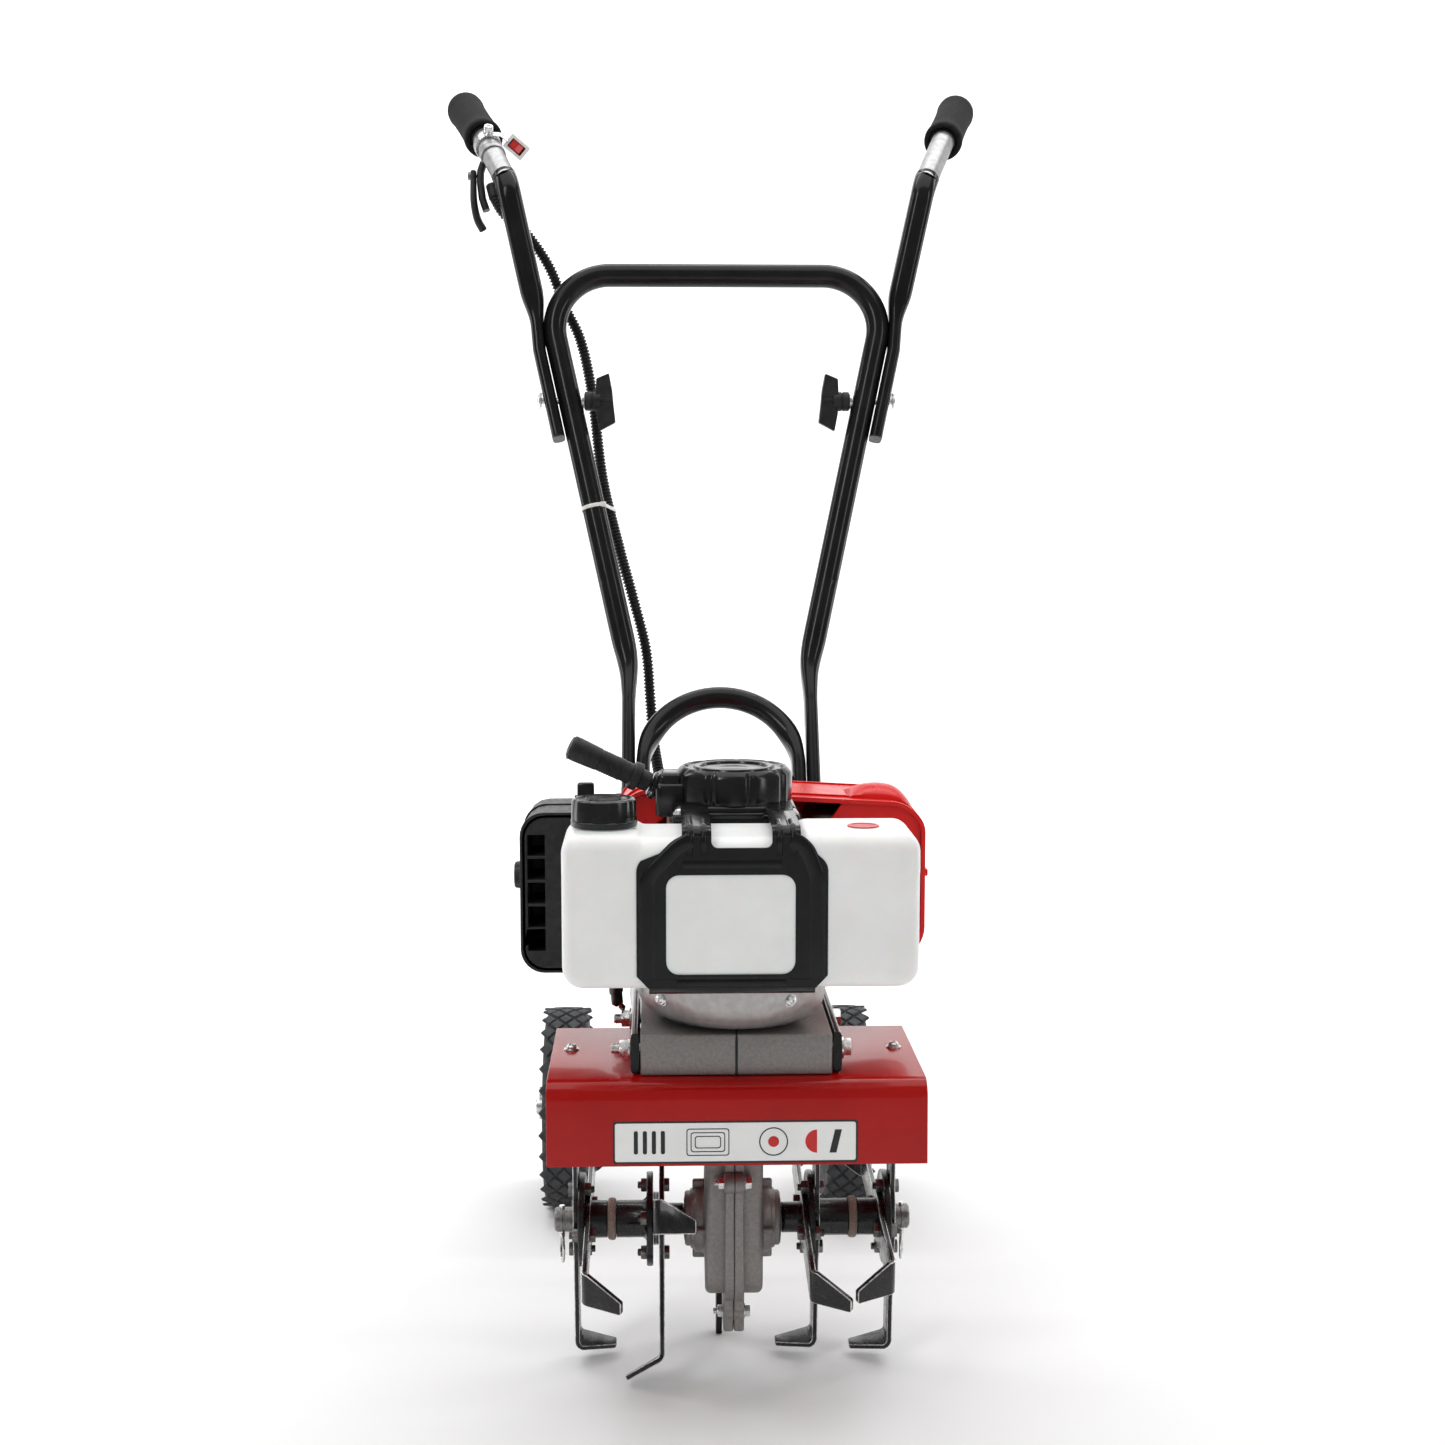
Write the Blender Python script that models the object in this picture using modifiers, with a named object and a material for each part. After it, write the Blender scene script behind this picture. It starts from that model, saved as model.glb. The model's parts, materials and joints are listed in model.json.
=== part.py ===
"""Mini cultivator: a two-stroke engine with an upright crankshaft, standing on a worm gearbox
that turns four pairs of tine bars, with a tubular handle and two transport wheels.

Lengths are metres. While the parts are modelled, X points to the machine's right as seen from
in front, Y points back towards the person who holds the grips and Z points up; the tine shaft
lies above the origin. The last step moves everything so that the origin is the centre of the
footprint on the ground.
"""

import math

import bmesh
import bpy
from mathutils import Matrix, Vector

# ---------------------------------------------------------------- driving dimensions
GAP = 0.0003  # between pieces that touch
GROUND_Z = -0.003  # the lowest tine tip and the wheels

TINE_Z = 0.117  # height of the tine shaft's axis
SHAFT_R = 0.0095
SHAFT_HALF = 0.138
HUB_R = 0.01425
FLANGE_R = 0.036
FLANGE_T = 0.005
BAR_T = 0.004  # thickness of a tine bar
BAR_W = 0.026
EYE_W = 0.040  # width of a bar's middle, where the shaft goes through
BEND_R = 0.106  # distance from the shaft to the bend of a tine
LEAF = 0.031  # length of the bent end
LEAF_ROOT_W = 0.025
LEAF_TIP_W = 0.010

WORM_Y = -0.028  # the worm, clutch and crankshaft share this upright axis
WHEEL_TEETH = 28  # of the worm wheel
WHEEL_TIP_R = 0.0200
WHEEL_ROOT_R = 0.0180
WORM_TIP_R = 0.0076
WORM_ROOT_R = 0.0058

BLOCK = ((0.070, -0.089, 0.2565), (0.0, 0.036, 0.287))  # outer and inner corner of one half
BLOCK_BOLT_Y = (-0.070, 0.017)
BLOCK_BOLT_Z = 0.272
FENDER_HALF = 0.138
FENDER_TOP = 0.256
SHEET = 0.002

FAN_LOW, FAN_HIGH = 0.2903, 0.3340
CASE_HIGH = 0.438
CYLINDER_Z = 0.388
TANK_LOW, TANK_HIGH = (-0.1225, -0.180, 0.341), (0.1225, -0.092, 0.448)
CAP_X, CAP_Y = -0.094, -0.135
CAP_R = 0.0235
RECOIL_R = 0.0435
SHROUD_LOW, SHROUD_HIGH = (-0.087, 0.022, 0.318), (0.150, 0.122, 0.450)
FILTER_LOW, FILTER_HIGH = (-0.161, -0.006, 0.315), (-0.090, 0.078, 0.437)
STARTER_ROOT = Vector((-0.0625, -0.030, 0.4640))
STARTER_PULL = Vector((-0.88, -0.10, 0.42)).normalized()

LEG_SLOPE = 0.608  # run back for each unit of rise on the lower frame
LEG_FOOT_Y = 0.190  # where the lower frame's slope starts
ARCH_X = 0.0705
ARCH_TOP_Z = 0.494
TUBE_R = 0.011
ARCH_R = 0.010
FLAT_T = 0.0063  # half thickness of a tube pressed flat
FLAT_W = 0.0135
HOOP_X = 0.0838
HOOP_BEND_Z = 0.5226
HOOP_TOP = (0.166, 0.430, 0.888)  # where a leg's line and the top bar's line meet
HOOP_CORNER_R = 0.052
HANDLE_BOLT_Z = 0.768
BAR_END_Z = 0.734
BEND_1 = (0.1715, 0.424, 0.853)
BEND_2 = (0.1975, 0.425, 0.973)
COLLAR = (0.2250, 0.500, 1.026)
GRIP_END = (0.2536, 0.610, 1.0755)
GRIP_R = 0.018

WHEEL_R = 0.095
WHEEL_W = 0.041
WHEEL_X = 0.1335  # half the track
WHEELS_SHIFT = -0.012  # the axle's play, pushed to one side
WHEEL_AXLE_Y = 0.379
WHEEL_AXLE_Z = GROUND_Z + WHEEL_R
STAKE_X, STAKE_Y = -0.0086, 0.0640
LEVER_PIVOT = Vector((-0.2330, 0.4700, 0.9860))  # of the throttle lever
SWITCH_TILT = math.radians(-50)  # of the stop switch, about Y

HUB_END = {"outer": 0.097, "inner": 0.090}  # where the hub tubes end
# name, flange's middle, which way the hub tube runs, then for each bar: its middle, the angle of
# one end from straight down towards the front, the way its leaf points, the leaf's outward slope
ROTORS = (
    ("left_outer", -0.1165, 1, (-0.1213, -8.6, 1, 17), (-0.1117, 81.4, 1, 28)),
    ("left_inner", -0.0641, -1, (-0.0549, 20.5, -1, 29), (-0.0593, 110.5, 1, 17)),
    ("right_inner", 0.0603, 1, (0.0651, -8.6, -1, 17), (0.0555, 81.4, 1, 28)),
    ("right_outer", 0.1188, -1, (0.1236, -6.0, -1, 17), (0.1140, 85.0, -1, 28)),
)
# the throttle conduit's course from its bracket down to the carburettor
CONDUIT = ((-0.2150, 0.4640, 0.9760), (-0.2110, 0.4570, 0.9620), (-0.2010, 0.4520, 0.9460),
           (-0.1820, 0.4510, 0.9300), (-0.1600, 0.4530, 0.8980), (-0.1450, 0.4560, 0.8600),
           (-0.1300, 0.4520, 0.8270), (-0.1190, 0.4400, 0.7750), (-0.1090, 0.4180, 0.6950),
           (-0.0930, 0.3910, 0.6300), (-0.0790, 0.3740, 0.5800), (-0.0680, 0.3690, 0.5350),
           (-0.0640, 0.3620, 0.4880), (-0.0610, 0.3500, 0.4500), (-0.0530, 0.3150, 0.4070),
           (-0.0480, 0.2650, 0.3840), (-0.0500, 0.2000, 0.3790), (-0.0560, 0.1400, 0.3820),
           (-0.0580, 0.1000, 0.3820), (-0.0580, 0.0786, 0.3820))

# ---------------------------------------------------------------- finishes
FINISHES = {
    "black paint": ((0.012, 0.012, 0.013), 0.28, 0.0),
    "black plastic": ((0.018, 0.018, 0.019), 0.42, 0.0),
    "rubber": ((0.02, 0.02, 0.02), 0.85, 0.0),
    "red paint": ((0.42, 0.012, 0.010), 0.25, 0.0),
    "red plastic": ((0.50, 0.015, 0.012), 0.35, 0.0),
    "cast metal": ((0.34, 0.33, 0.32), 0.55, 0.8),
    "bright steel": ((0.62, 0.62, 0.61), 0.25, 1.0),
    "dark steel": ((0.10, 0.10, 0.10), 0.45, 0.9),
    "white plastic": ((0.80, 0.80, 0.78), 0.45, 0.0),
    "brass": ((0.60, 0.45, 0.20), 0.35, 1.0),
}

SIDE_VIEW = Matrix(((0, 0, 1), (1, 0, 0), (0, 1, 0))).to_4x4()  # outline (y, z), thick along X
FRONT_VIEW = Matrix(((1, 0, 0), (0, 0, -1), (0, 1, 0))).to_4x4()  # outline (x, z), thick along Y
TOP_VIEW = Matrix.Identity(4)  # outline (x, y), thick along Z


# ---------------------------------------------------------------- helpers
def start():
    """Empty the scene and make the two collections."""
    for old in list(bpy.data.objects):
        bpy.data.objects.remove(old)
    for name in ("mini_cultivator", "cutters"):
        bpy.context.scene.collection.children.link(bpy.data.collections.new(name))


def add(name, mesh, finish):
    """Put a mesh in the scene: a part when it has a finish, a hidden helper when it has none."""
    thing = bpy.data.objects.new(name, mesh)
    if finish is None:
        bpy.data.collections["cutters"].objects.link(thing)
        thing.hide_render = True
        thing.display_type = "WIRE"
        return thing
    bpy.data.collections["mini_cultivator"].objects.link(thing)
    colour, roughness, metallic = FINISHES[finish]
    material = bpy.data.materials.new(name + "_finish")
    material.use_nodes = True
    shader = material.node_tree.nodes["Principled BSDF"]
    shader.inputs["Base Color"].default_value = (*colour, 1.0)
    shader.inputs["Roughness"].default_value = roughness
    shader.inputs["Metallic"].default_value = metallic
    mesh.materials.append(material)
    return thing


def finish_mesh(name, bm, finish, smooth=True):
    """Turn a bmesh into an object with smooth faces and sharp edges."""
    mesh = bpy.data.meshes.new(name)
    bmesh.ops.recalc_face_normals(bm, faces=bm.faces)
    bm.to_mesh(mesh)
    bm.free()
    if smooth:
        mesh.shade_smooth()
        mesh.set_sharp_from_angle(angle=math.radians(35))
    return add(name, mesh, finish)


def box(name, low, high, finish=None, bevel=0.0, segments=2):
    """A box between two corners, with rounded edges if bevel is given."""
    low, high = Vector(low), Vector(high)
    bm = bmesh.new()
    bmesh.ops.create_cube(bm, size=1.0)
    bmesh.ops.scale(bm, vec=high - low, verts=bm.verts)
    bmesh.ops.translate(bm, vec=(low + high) / 2, verts=bm.verts)
    thing = finish_mesh(name, bm, finish, smooth=False)
    if bevel:
        rounding = thing.modifiers.new("rounding", "BEVEL")
        rounding.width = bevel
        rounding.segments = segments
    return thing


def rod(name, start_point, end_point, radius, finish=None, sides=20, end_radius=None):
    """A cylinder or cone between two points."""
    start_point, end_point = Vector(start_point), Vector(end_point)
    along = end_point - start_point
    bm = bmesh.new()
    bmesh.ops.create_cone(bm, cap_ends=True, segments=sides, radius1=radius,
                          radius2=radius if end_radius is None else end_radius, depth=along.length)
    turn = Vector((0, 0, 1)).rotation_difference(along).to_matrix().to_4x4()
    bmesh.ops.transform(bm, matrix=Matrix.Translation((start_point + end_point) / 2) @ turn,
                        verts=bm.verts)
    return finish_mesh(name, bm, finish)


def turned(name, profile, origin, axis, finish=None, steps=24):
    """A turned piece: profile is (radius, height) from the top down the outer side, height being
    measured from origin along axis. A profile that ends where it began is a ring."""
    ring = profile[0] == profile[-1]
    points = profile[:-1] if ring else profile
    mesh = bpy.data.meshes.new(name)
    count = len(points)
    edges = [(i, i + 1) for i in range(count - 1)]
    if ring:
        edges.append((count - 1, 0))
    mesh.from_pydata([(r, 0.0, h) for r, h in points], edges, [])
    thing = add(name, mesh, finish)
    screw = thing.modifiers.new("turn", "SCREW")
    screw.steps = steps
    screw.render_steps = steps
    screw.use_merge_vertices = True
    screw.merge_threshold = 0.00001
    thing.rotation_mode = "QUATERNION"
    thing.rotation_quaternion = Vector((0, 0, 1)).rotation_difference(Vector(axis))
    thing.location = origin
    return thing


def flat(name, outlines, thickness, view, middle, finish=None):
    """A flat piece from closed outlines (inner ones are holes), centred on middle along its
    thin direction."""
    curve = bpy.data.curves.new(name, "CURVE")
    curve.dimensions = "2D"
    curve.fill_mode = "BOTH"
    curve.extrude = thickness / 2
    for outline in outlines:
        spline = curve.splines.new("POLY")
        spline.points.add(len(outline) - 1)
        for point, (a, b) in zip(spline.points, outline):
            point.co = (a, b, 0.0, 1.0)
        spline.use_cyclic_u = True
    drawn = bpy.data.objects.new(name, curve)
    bpy.context.scene.collection.objects.link(drawn)
    bpy.context.view_layer.update()
    solid = drawn.evaluated_get(bpy.context.evaluated_depsgraph_get())
    mesh = bpy.data.meshes.new_from_object(solid)
    bpy.data.objects.remove(drawn)
    bm = bmesh.new()
    bm.from_mesh(mesh)
    bpy.data.meshes.remove(mesh)
    bmesh.ops.remove_doubles(bm, verts=bm.verts, dist=0.00001)
    bmesh.ops.transform(bm, matrix=view, verts=bm.verts)
    bmesh.ops.translate(bm, vec=view.to_3x3() @ Vector((0, 0, middle)), verts=bm.verts)
    return finish_mesh(name, bm, finish, smooth=False)


def bent_sheet(name, profile, x_low, x_high, thickness, finish=None):
    """Sheet metal bent along a (y, z) profile and running across from x_low to x_high."""
    mesh = bpy.data.meshes.new(name)
    points = [(x, y, z) for y, z in profile for x in (x_low, x_high)]
    faces = [(2 * i, 2 * i + 1, 2 * i + 3, 2 * i + 2) for i in range(len(profile) - 1)]
    mesh.from_pydata(points, [], faces)
    thing = add(name, mesh, finish)
    thick = thing.modifiers.new("thickness", "SOLIDIFY")
    thick.thickness = thickness
    thick.offset = 0.0
    thick.use_even_offset = True
    return thing


def sweep(name, path, size_at, finish=None, sides=10, first_side=(1, 0, 0)):
    """A tube along a path whose section changes: size_at(point) gives the half width along the
    carried side direction, the half width across it, and how square the oval is."""
    path = [Vector(p) for p in path]
    side = Vector(first_side)
    bm = bmesh.new()
    rings = []
    for i, point in enumerate(path):
        before = path[max(i - 1, 0)]
        after = path[min(i + 1, len(path) - 1)]
        along = (after - point).normalized() + (point - before).normalized()
        along.normalize()
        side = (side - along * side.dot(along)).normalized()
        across = along.cross(side)
        half_a, half_b, square = size_at(point)
        ring = []
        for k in range(sides):
            angle = math.tau * (k + 0.5) / sides
            c, s = math.cos(angle), math.sin(angle)
            a = half_a * math.copysign(abs(c) ** (2 / square), c)
            b = half_b * math.copysign(abs(s) ** (2 / square), s)
            ring.append(bm.verts.new(point + side * a + across * b))
        rings.append(ring)
    for low, high in zip(rings, rings[1:]):
        for k in range(sides):
            bm.faces.new((low[k], low[(k + 1) % sides], high[(k + 1) % sides], high[k]))
    bm.faces.new(rings[0])
    bm.faces.new(rings[-1])
    return finish_mesh(name, bm, finish)


def rounded(points, radii, step=18.0):
    """A path with its corners rounded; radii has one radius for each inner corner."""
    points = [Vector(p) for p in points]
    path = [points[0]]
    for before, corner, after, radius in zip(points, points[1:], points[2:], radii):
        back = (before - corner).normalized()
        ahead = (after - corner).normalized()
        turn = math.pi - back.angle(ahead)
        reach = radius * math.tan(turn / 2)
        centre = corner + (back + ahead).normalized() * radius / math.cos(turn / 2)
        first = corner + back * reach - centre
        axis = back.cross(ahead).normalized()
        count = max(1, math.ceil(math.degrees(turn) / step))
        for i in range(count + 1):
            path.append(centre + Matrix.Rotation(-turn * i / count, 3, axis) @ first)
    path.append(points[-1])
    return path


def tube(name, points, radius, finish=None, sides=8):
    """A round tube along points, as a mesh."""
    return sweep(name, points, lambda point: (radius, radius, 2.0), finish, sides,
                 first_side=(Vector(points[1]) - Vector(points[0])).orthogonal().normalized())


def cord(name, points, radius, finish, count):
    """A round cord on a smooth curve through hand-placed points."""
    curve = bpy.data.curves.new(name, "CURVE")
    curve.dimensions = "3D"
    curve.bevel_depth = radius
    curve.bevel_resolution = 2
    curve.use_fill_caps = True
    spline = curve.splines.new("POLY")
    line = smooth_line(points, count)
    spline.points.add(len(line) - 1)
    for point, place in zip(spline.points, line):
        point.co = (*place, 1.0)
    return add(name, curve, finish)


def smooth_line(points, count):
    """Evenly numbered points on a Catmull-Rom curve through the given ones."""
    points = [Vector(p) for p in points]
    ends = [2 * points[0] - points[1], *points, 2 * points[-1] - points[-2]]
    line = []
    for i in range(count):
        place = i / (count - 1) * (len(points) - 1)
        k = min(int(place), len(points) - 2)
        t = place - k
        p0, p1, p2, p3 = ends[k:k + 4]
        line.append(0.5 * (2 * p1 + (p2 - p0) * t + (2 * p0 - 5 * p1 + 4 * p2 - p3) * t * t
                           + (3 * p1 - 3 * p2 + p3 - p0) * t ** 3))
    return line


def arc(centre, radius, first, last, count):
    """Points on a flat arc, angles in degrees."""
    return [(centre[0] + radius * math.cos(math.radians(first + (last - first) * i / count)),
             centre[1] + radius * math.sin(math.radians(first + (last - first) * i / count)))
            for i in range(count + 1)]


def rounded_rectangle(low, high, radius, count=3):
    """A closed outline of a rectangle with round corners."""
    (a, b), (c, d) = low, high
    return (arc((c - radius, d - radius), radius, 0, 90, count)
            + arc((a + radius, d - radius), radius, 90, 180, count)
            + arc((a + radius, b + radius), radius, 180, 270, count)
            + arc((c - radius, b + radius), radius, 270, 360, count))


def boolean(target, other, kind):
    """Join other to target or cut it away; other becomes a hidden helper."""
    change = target.modifiers.new(kind.lower(), "BOOLEAN")
    change.operation = kind
    change.object = other
    change.solver = "EXACT"


def join(target, *others):
    for other in others:
        boolean(target, other, "UNION")
    return target


def cut(target, *others):
    for other in others:
        boolean(target, other, "DIFFERENCE")
    return target


def pivot(thing, point):
    """Put a piece's origin on its joint's axis without moving its shape."""
    point = Vector(point)
    if thing.type == "MESH" and thing.rotation_mode != "QUATERNION":
        thing.data.transform(Matrix.Translation(-point))
        thing.location = point
    return thing


def mirror_x(point, side):
    return Vector((side * point[0], point[1], point[2]))


# ---------------------------------------------------------------- tines


def tine_bar(name, x, angle, leaf_way, slope, hole):
    """A flat bar across the shaft, both ends bent over into leaves."""
    bend = 0.006
    turn = math.radians(90 - slope)
    eye = EYE_W / 2
    stations = [(0.0, 0.0, eye, eye), (0.0, 0.013, eye, eye),
                (0.0, 0.030, BAR_W / 2, BAR_W / 2), (0.0, BEND_R - bend, BAR_W / 2, BAR_W / 2)]
    for i in range(1, 3):
        part = turn * i / 2
        stations.append((bend * (1 - math.cos(part)), BEND_R - bend + bend * math.sin(part),
                         LEAF_ROOT_W / 2, LEAF_ROOT_W / 2))
    out, radius = stations[-1][:2]
    length = LEAF - out
    stations.append((out + length * math.sin(turn), radius + length * math.cos(turn),
                     LEAF_TIP_W - LEAF_ROOT_W / 2, LEAF_ROOT_W / 2))
    bm = bmesh.new()
    rows = []
    strip = [(s, 180.0) for s in reversed(stations[1:])] + [(s, 0.0) for s in stations]
    for (out, radius, front, rear), flip in strip:
        phi = math.radians(angle + flip)
        outward = Vector((0, -math.sin(phi), -math.cos(phi)))
        ahead = Vector((0, -math.cos(phi), math.sin(phi)))
        middle = Vector((x + leaf_way * out, 0, TINE_Z)) + outward * radius
        pair = [bm.verts.new(middle + ahead * front), bm.verts.new(middle - ahead * rear)]
        rows.append(pair if flip == 0.0 else pair[::-1])
    for first, second in zip(rows, rows[1:]):
        bm.faces.new((first[0], first[1], second[1], second[0]))
    bar = finish_mesh(name, bm, "black paint", smooth=False)
    thick = bar.modifiers.new("thickness", "SOLIDIFY")
    thick.thickness = BAR_T
    thick.offset = 0.0
    thick.use_even_offset = True
    cut(bar, rod(name + "_hole", (x - 0.01, 0, TINE_Z), (x + 0.01, 0, TINE_Z), hole, sides=20))
    return pivot(bar, (0, 0, TINE_Z))


def make_tines():
    """The shaft and, on it, four hubs with two bars each."""
    axis = (0, 0, TINE_Z)
    pivot(rod("tine_shaft", (-SHAFT_HALF, 0, TINE_Z), (SHAFT_HALF, 0, TINE_Z), SHAFT_R,
              "bright steel"), axis)
    for name, middle, way, *bars in ROTORS:
        side = math.copysign(1.0, middle)
        end = side * HUB_END[name.split("_")[1]]
        back = middle - math.copysign(FLANGE_T / 2, end - middle)
        direction = math.copysign(1.0, end - middle)
        bore = SHAFT_R + GAP
        length = abs(end - back)
        profile = [(bore, length), (HUB_R, length), (HUB_R, FLANGE_T), (FLANGE_R, FLANGE_T),
                   (FLANGE_R, 0.0), (bore, 0.0), (bore, length)]
        turned("hub_" + name, profile, (back, 0, TINE_Z), (direction, 0, 0), "black paint", 18)
        for letter, (x, angle, leaf_way, slope) in zip("ab", bars):
            beside_tube = (x - middle) * direction > 0
            hole = (HUB_R if beside_tube else SHAFT_R) + 2 * GAP
            tine_bar("tines_" + name + "_" + letter, x, angle, leaf_way, slope, hole)


def gear_outline(teeth, root, tip):
    """A closed outline with straight-sided teeth, one tooth centred on the first axis."""
    points = []
    for i in range(teeth):
        for share, radius in ((-0.26, root), (-0.13, tip), (0.13, tip), (0.26, root)):
            angle = math.tau * (i + share) / teeth
            points.append((radius * math.cos(angle), radius * math.sin(angle)))
    return points


def make_worm_drive():
    """The worm wheel on the tine shaft, and the upright worm with the clutch drum above it."""
    wheel = flat("worm_wheel", [[(a, b + TINE_Z) for a, b in
                                 gear_outline(WHEEL_TEETH, WHEEL_ROOT_R, WHEEL_TIP_R)],
                                [(a, b + TINE_Z) for a, b in
                                 arc((0, 0), SHAFT_R + GAP, 0, 345, 23)]],
                 0.014, SIDE_VIEW, 0.0, "brass")
    pivot(wheel, (0, 0, TINE_Z))

    pitch = math.tau * (WHEEL_TIP_R + GAP) / WHEEL_TEETH
    turns = 4
    sides = 12
    low = TINE_Z - pitch * turns / 2
    bm = bmesh.new()
    rings = []
    levels = turns * 4
    profile = [(0.0060, 0.2636), (0.0060, low + pitch * turns + 0.001)]
    profile += [(None, low + pitch * turns * (1 - i / levels)) for i in range(levels + 1)]
    profile += [(0.0050, low - 0.001), (0.0050, 0.0735)]
    for radius, z in profile:
        ring = []
        for k in range(sides):
            angle = math.tau * k / sides
            reach = radius
            if reach is None:
                wave = ((z - low) / pitch - k / sides) % 1.0
                reach = WORM_ROOT_R + (WORM_TIP_R - WORM_ROOT_R) * (1 - abs(2 * wave - 1))
            ring.append(bm.verts.new((reach * math.cos(angle), reach * math.sin(angle), z)))
        rings.append(ring)
    for high_ring, low_ring in zip(rings, rings[1:]):
        for k in range(sides):
            bm.faces.new((high_ring[k], high_ring[(k + 1) % sides],
                          low_ring[(k + 1) % sides], low_ring[k]))
    bm.faces.new(rings[0])
    bm.faces.new(rings[-1])
    worm = finish_mesh("worm_shaft", bm, "bright steel")
    worm.location = (0, WORM_Y, 0)

    turned("clutch_drum", [(0.0, 0.0030), (0.0310, 0.0030), (0.0310, 0.0200), (0.0340, 0.0200),
                           (0.0340, 0.0), (0.0, 0.0)], (0, WORM_Y, 0.2639), (0, 0, 1),
           "dark steel", 28)


# ---------------------------------------------------------------- gearbox
def gearbox_outline(grow):
    """Side outline (y, z): round about the tine shaft, straight about the worm, then the neck."""
    wheel_r = 0.033 + grow
    worm_r = 0.0175 + grow
    return ([(WORM_Y - worm_r, 0.2600), (WORM_Y - worm_r, 0.086)]
            + arc((WORM_Y, 0.086), worm_r, 180, 262, 4)
            + arc((0.0, TINE_Z), wheel_r, -98, 58, 8)
            + [(WORM_Y + worm_r, 0.172 + grow), (WORM_Y + worm_r, 0.2600)])


def make_gearbox():
    """Two cast halves that meet on the middle plane; each carries half of the top block."""
    (block_x, block_y0, block_z0), (_, block_y1, block_z1) = BLOCK
    for name, side in (("gearbox_left", -1), ("gearbox_right", 1)):

        def slab(label, outline, reach, past):
            """A slab of the casting from past the middle plane out to reach."""
            return flat(name + label, [outline], reach + past, SIDE_VIEW,
                        side * (reach - past) / 2)

        half = box(name, *ordered((side * -0.002, block_y0, block_z0),
                                  (side * block_x, block_y1, block_z1)), "cast metal")
        neck = slab("_neck", gearbox_outline(-0.003), 0.0155, 0.003)
        body = slab("_body", [(WORM_Y - 0.0175, 0.178)]
                    + [p for p in gearbox_outline(0.0) if p[1] < 0.17]
                    + [(WORM_Y + 0.0175, 0.178)], 0.0220, 0.004)
        flange = slab("_flange", gearbox_outline(0.006), 0.0072, 0.005)
        lug = slab("_lug", [(-0.040, 0.085), (-0.032, 0.038), (-0.004, 0.038), (0.004, 0.085)],
                   0.0080, 0.006)
        boss = rod(name + "_boss", (side * -0.007, 0, TINE_Z), (side * 0.030, 0, TINE_Z), 0.0255)
        collar = rod(name + "_collar", (side * -0.008, 0, TINE_Z), (side * 0.037, 0, TINE_Z), 0.021)
        join(half, neck, body, flange, lug, boss, collar)
        if side < 0:
            join(half, box(name + "_sleeve", (-0.018, 0.024, 0.146), (0.009, STAKE_Y + 0.0165, 0.176)))
        cut(half,
            box(name + "_other_side", *ordered((side * GAP / 2, -0.2, 0.0),
                                               (side * -0.05, 0.2, 0.4))),
            rod(name + "_clutch_room", (0, WORM_Y, 0.2620), (0, WORM_Y, 0.30), 0.0360, sides=32),
            rod(name + "_neck_bore", (0, WORM_Y, 0.15), (0, WORM_Y, 0.27), 0.0066, sides=16),
            rod(name + "_worm_room", (0, WORM_Y, 0.0730), (0, WORM_Y, 0.165), 0.0095, sides=16),
            rod(name + "_wheel_room", (-0.0095, 0, TINE_Z), (0.0095, 0, TINE_Z), 0.0235, sides=24),
            rod(name + "_shaft_bore", (-0.05, 0, TINE_Z), (0.05, 0, TINE_Z), SHAFT_R + GAP,
                sides=20))
        for i, y in enumerate(BLOCK_BOLT_Y):
            cut(half, rod(name + "_bolt_hole_" + str(i), (-0.1, y, BLOCK_BOLT_Z),
                          (0.1, y, BLOCK_BOLT_Z), 0.0043, sides=12))
        if side < 0:
            cut(half, box(name + "_stake_slot", (STAKE_X - 0.0028, STAKE_Y - 0.0123, 0.14),
                          (STAKE_X + 0.0028, STAKE_Y + 0.0123, 0.18)))
    for name, y in zip(("block_bolt_front", "block_bolt_rear"), BLOCK_BOLT_Y):
        bolt = rod(name, (-0.0915, y, BLOCK_BOLT_Z), (0.082, y, BLOCK_BOLT_Z), 0.0040,
                   "bright steel", sides=8)
        for label, x0, x1, radius, sides in (("_nut", -0.0845, -0.0795, 0.0073, 6),
                                             ("_nut_washer", -0.0795, -0.0781, 0.0085, 12),
                                             ("_head_washer", 0.0781, 0.0797, 0.0085, 12),
                                             ("_head", 0.0797, 0.0850, 0.0073, 6)):
            join(bolt, rod(name + label, (x0, y, BLOCK_BOLT_Z), (x1, y, BLOCK_BOLT_Z), radius,
                           sides=sides))


def ordered(a, b):
    """The low and the high corner of the box that two opposite corners span."""
    return (Vector([min(p, q) for p, q in zip(a, b)]), Vector([max(p, q) for p, q in zip(a, b)]))


def make_fender():
    """Red sheet with a rounded front edge; the gearbox neck passes through its top."""
    top = FENDER_TOP - SHEET / 2
    front = -0.105
    radius = 0.012
    profile = [(0.050, top), (front + radius, top)]
    profile += arc((front + radius, top - radius), radius, 90, 180, 5)[1:]
    profile += [(front - 0.002, 0.195)]
    fender = bent_sheet("fender", profile, -FENDER_HALF, FENDER_HALF, SHEET, "red paint")
    cut(fender, box("fender_neck_hole", (-0.018, WORM_Y - 0.026, 0.24),
                    (0.018, WORM_Y + 0.026, 0.27)))


# ---------------------------------------------------------------- engine
def volute(angle):
    """Outer radius of the fan housing: it opens out towards the left front."""
    share = (math.degrees(angle) + 30) % 360 / 360
    return 0.068 + 0.014 * share


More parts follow.
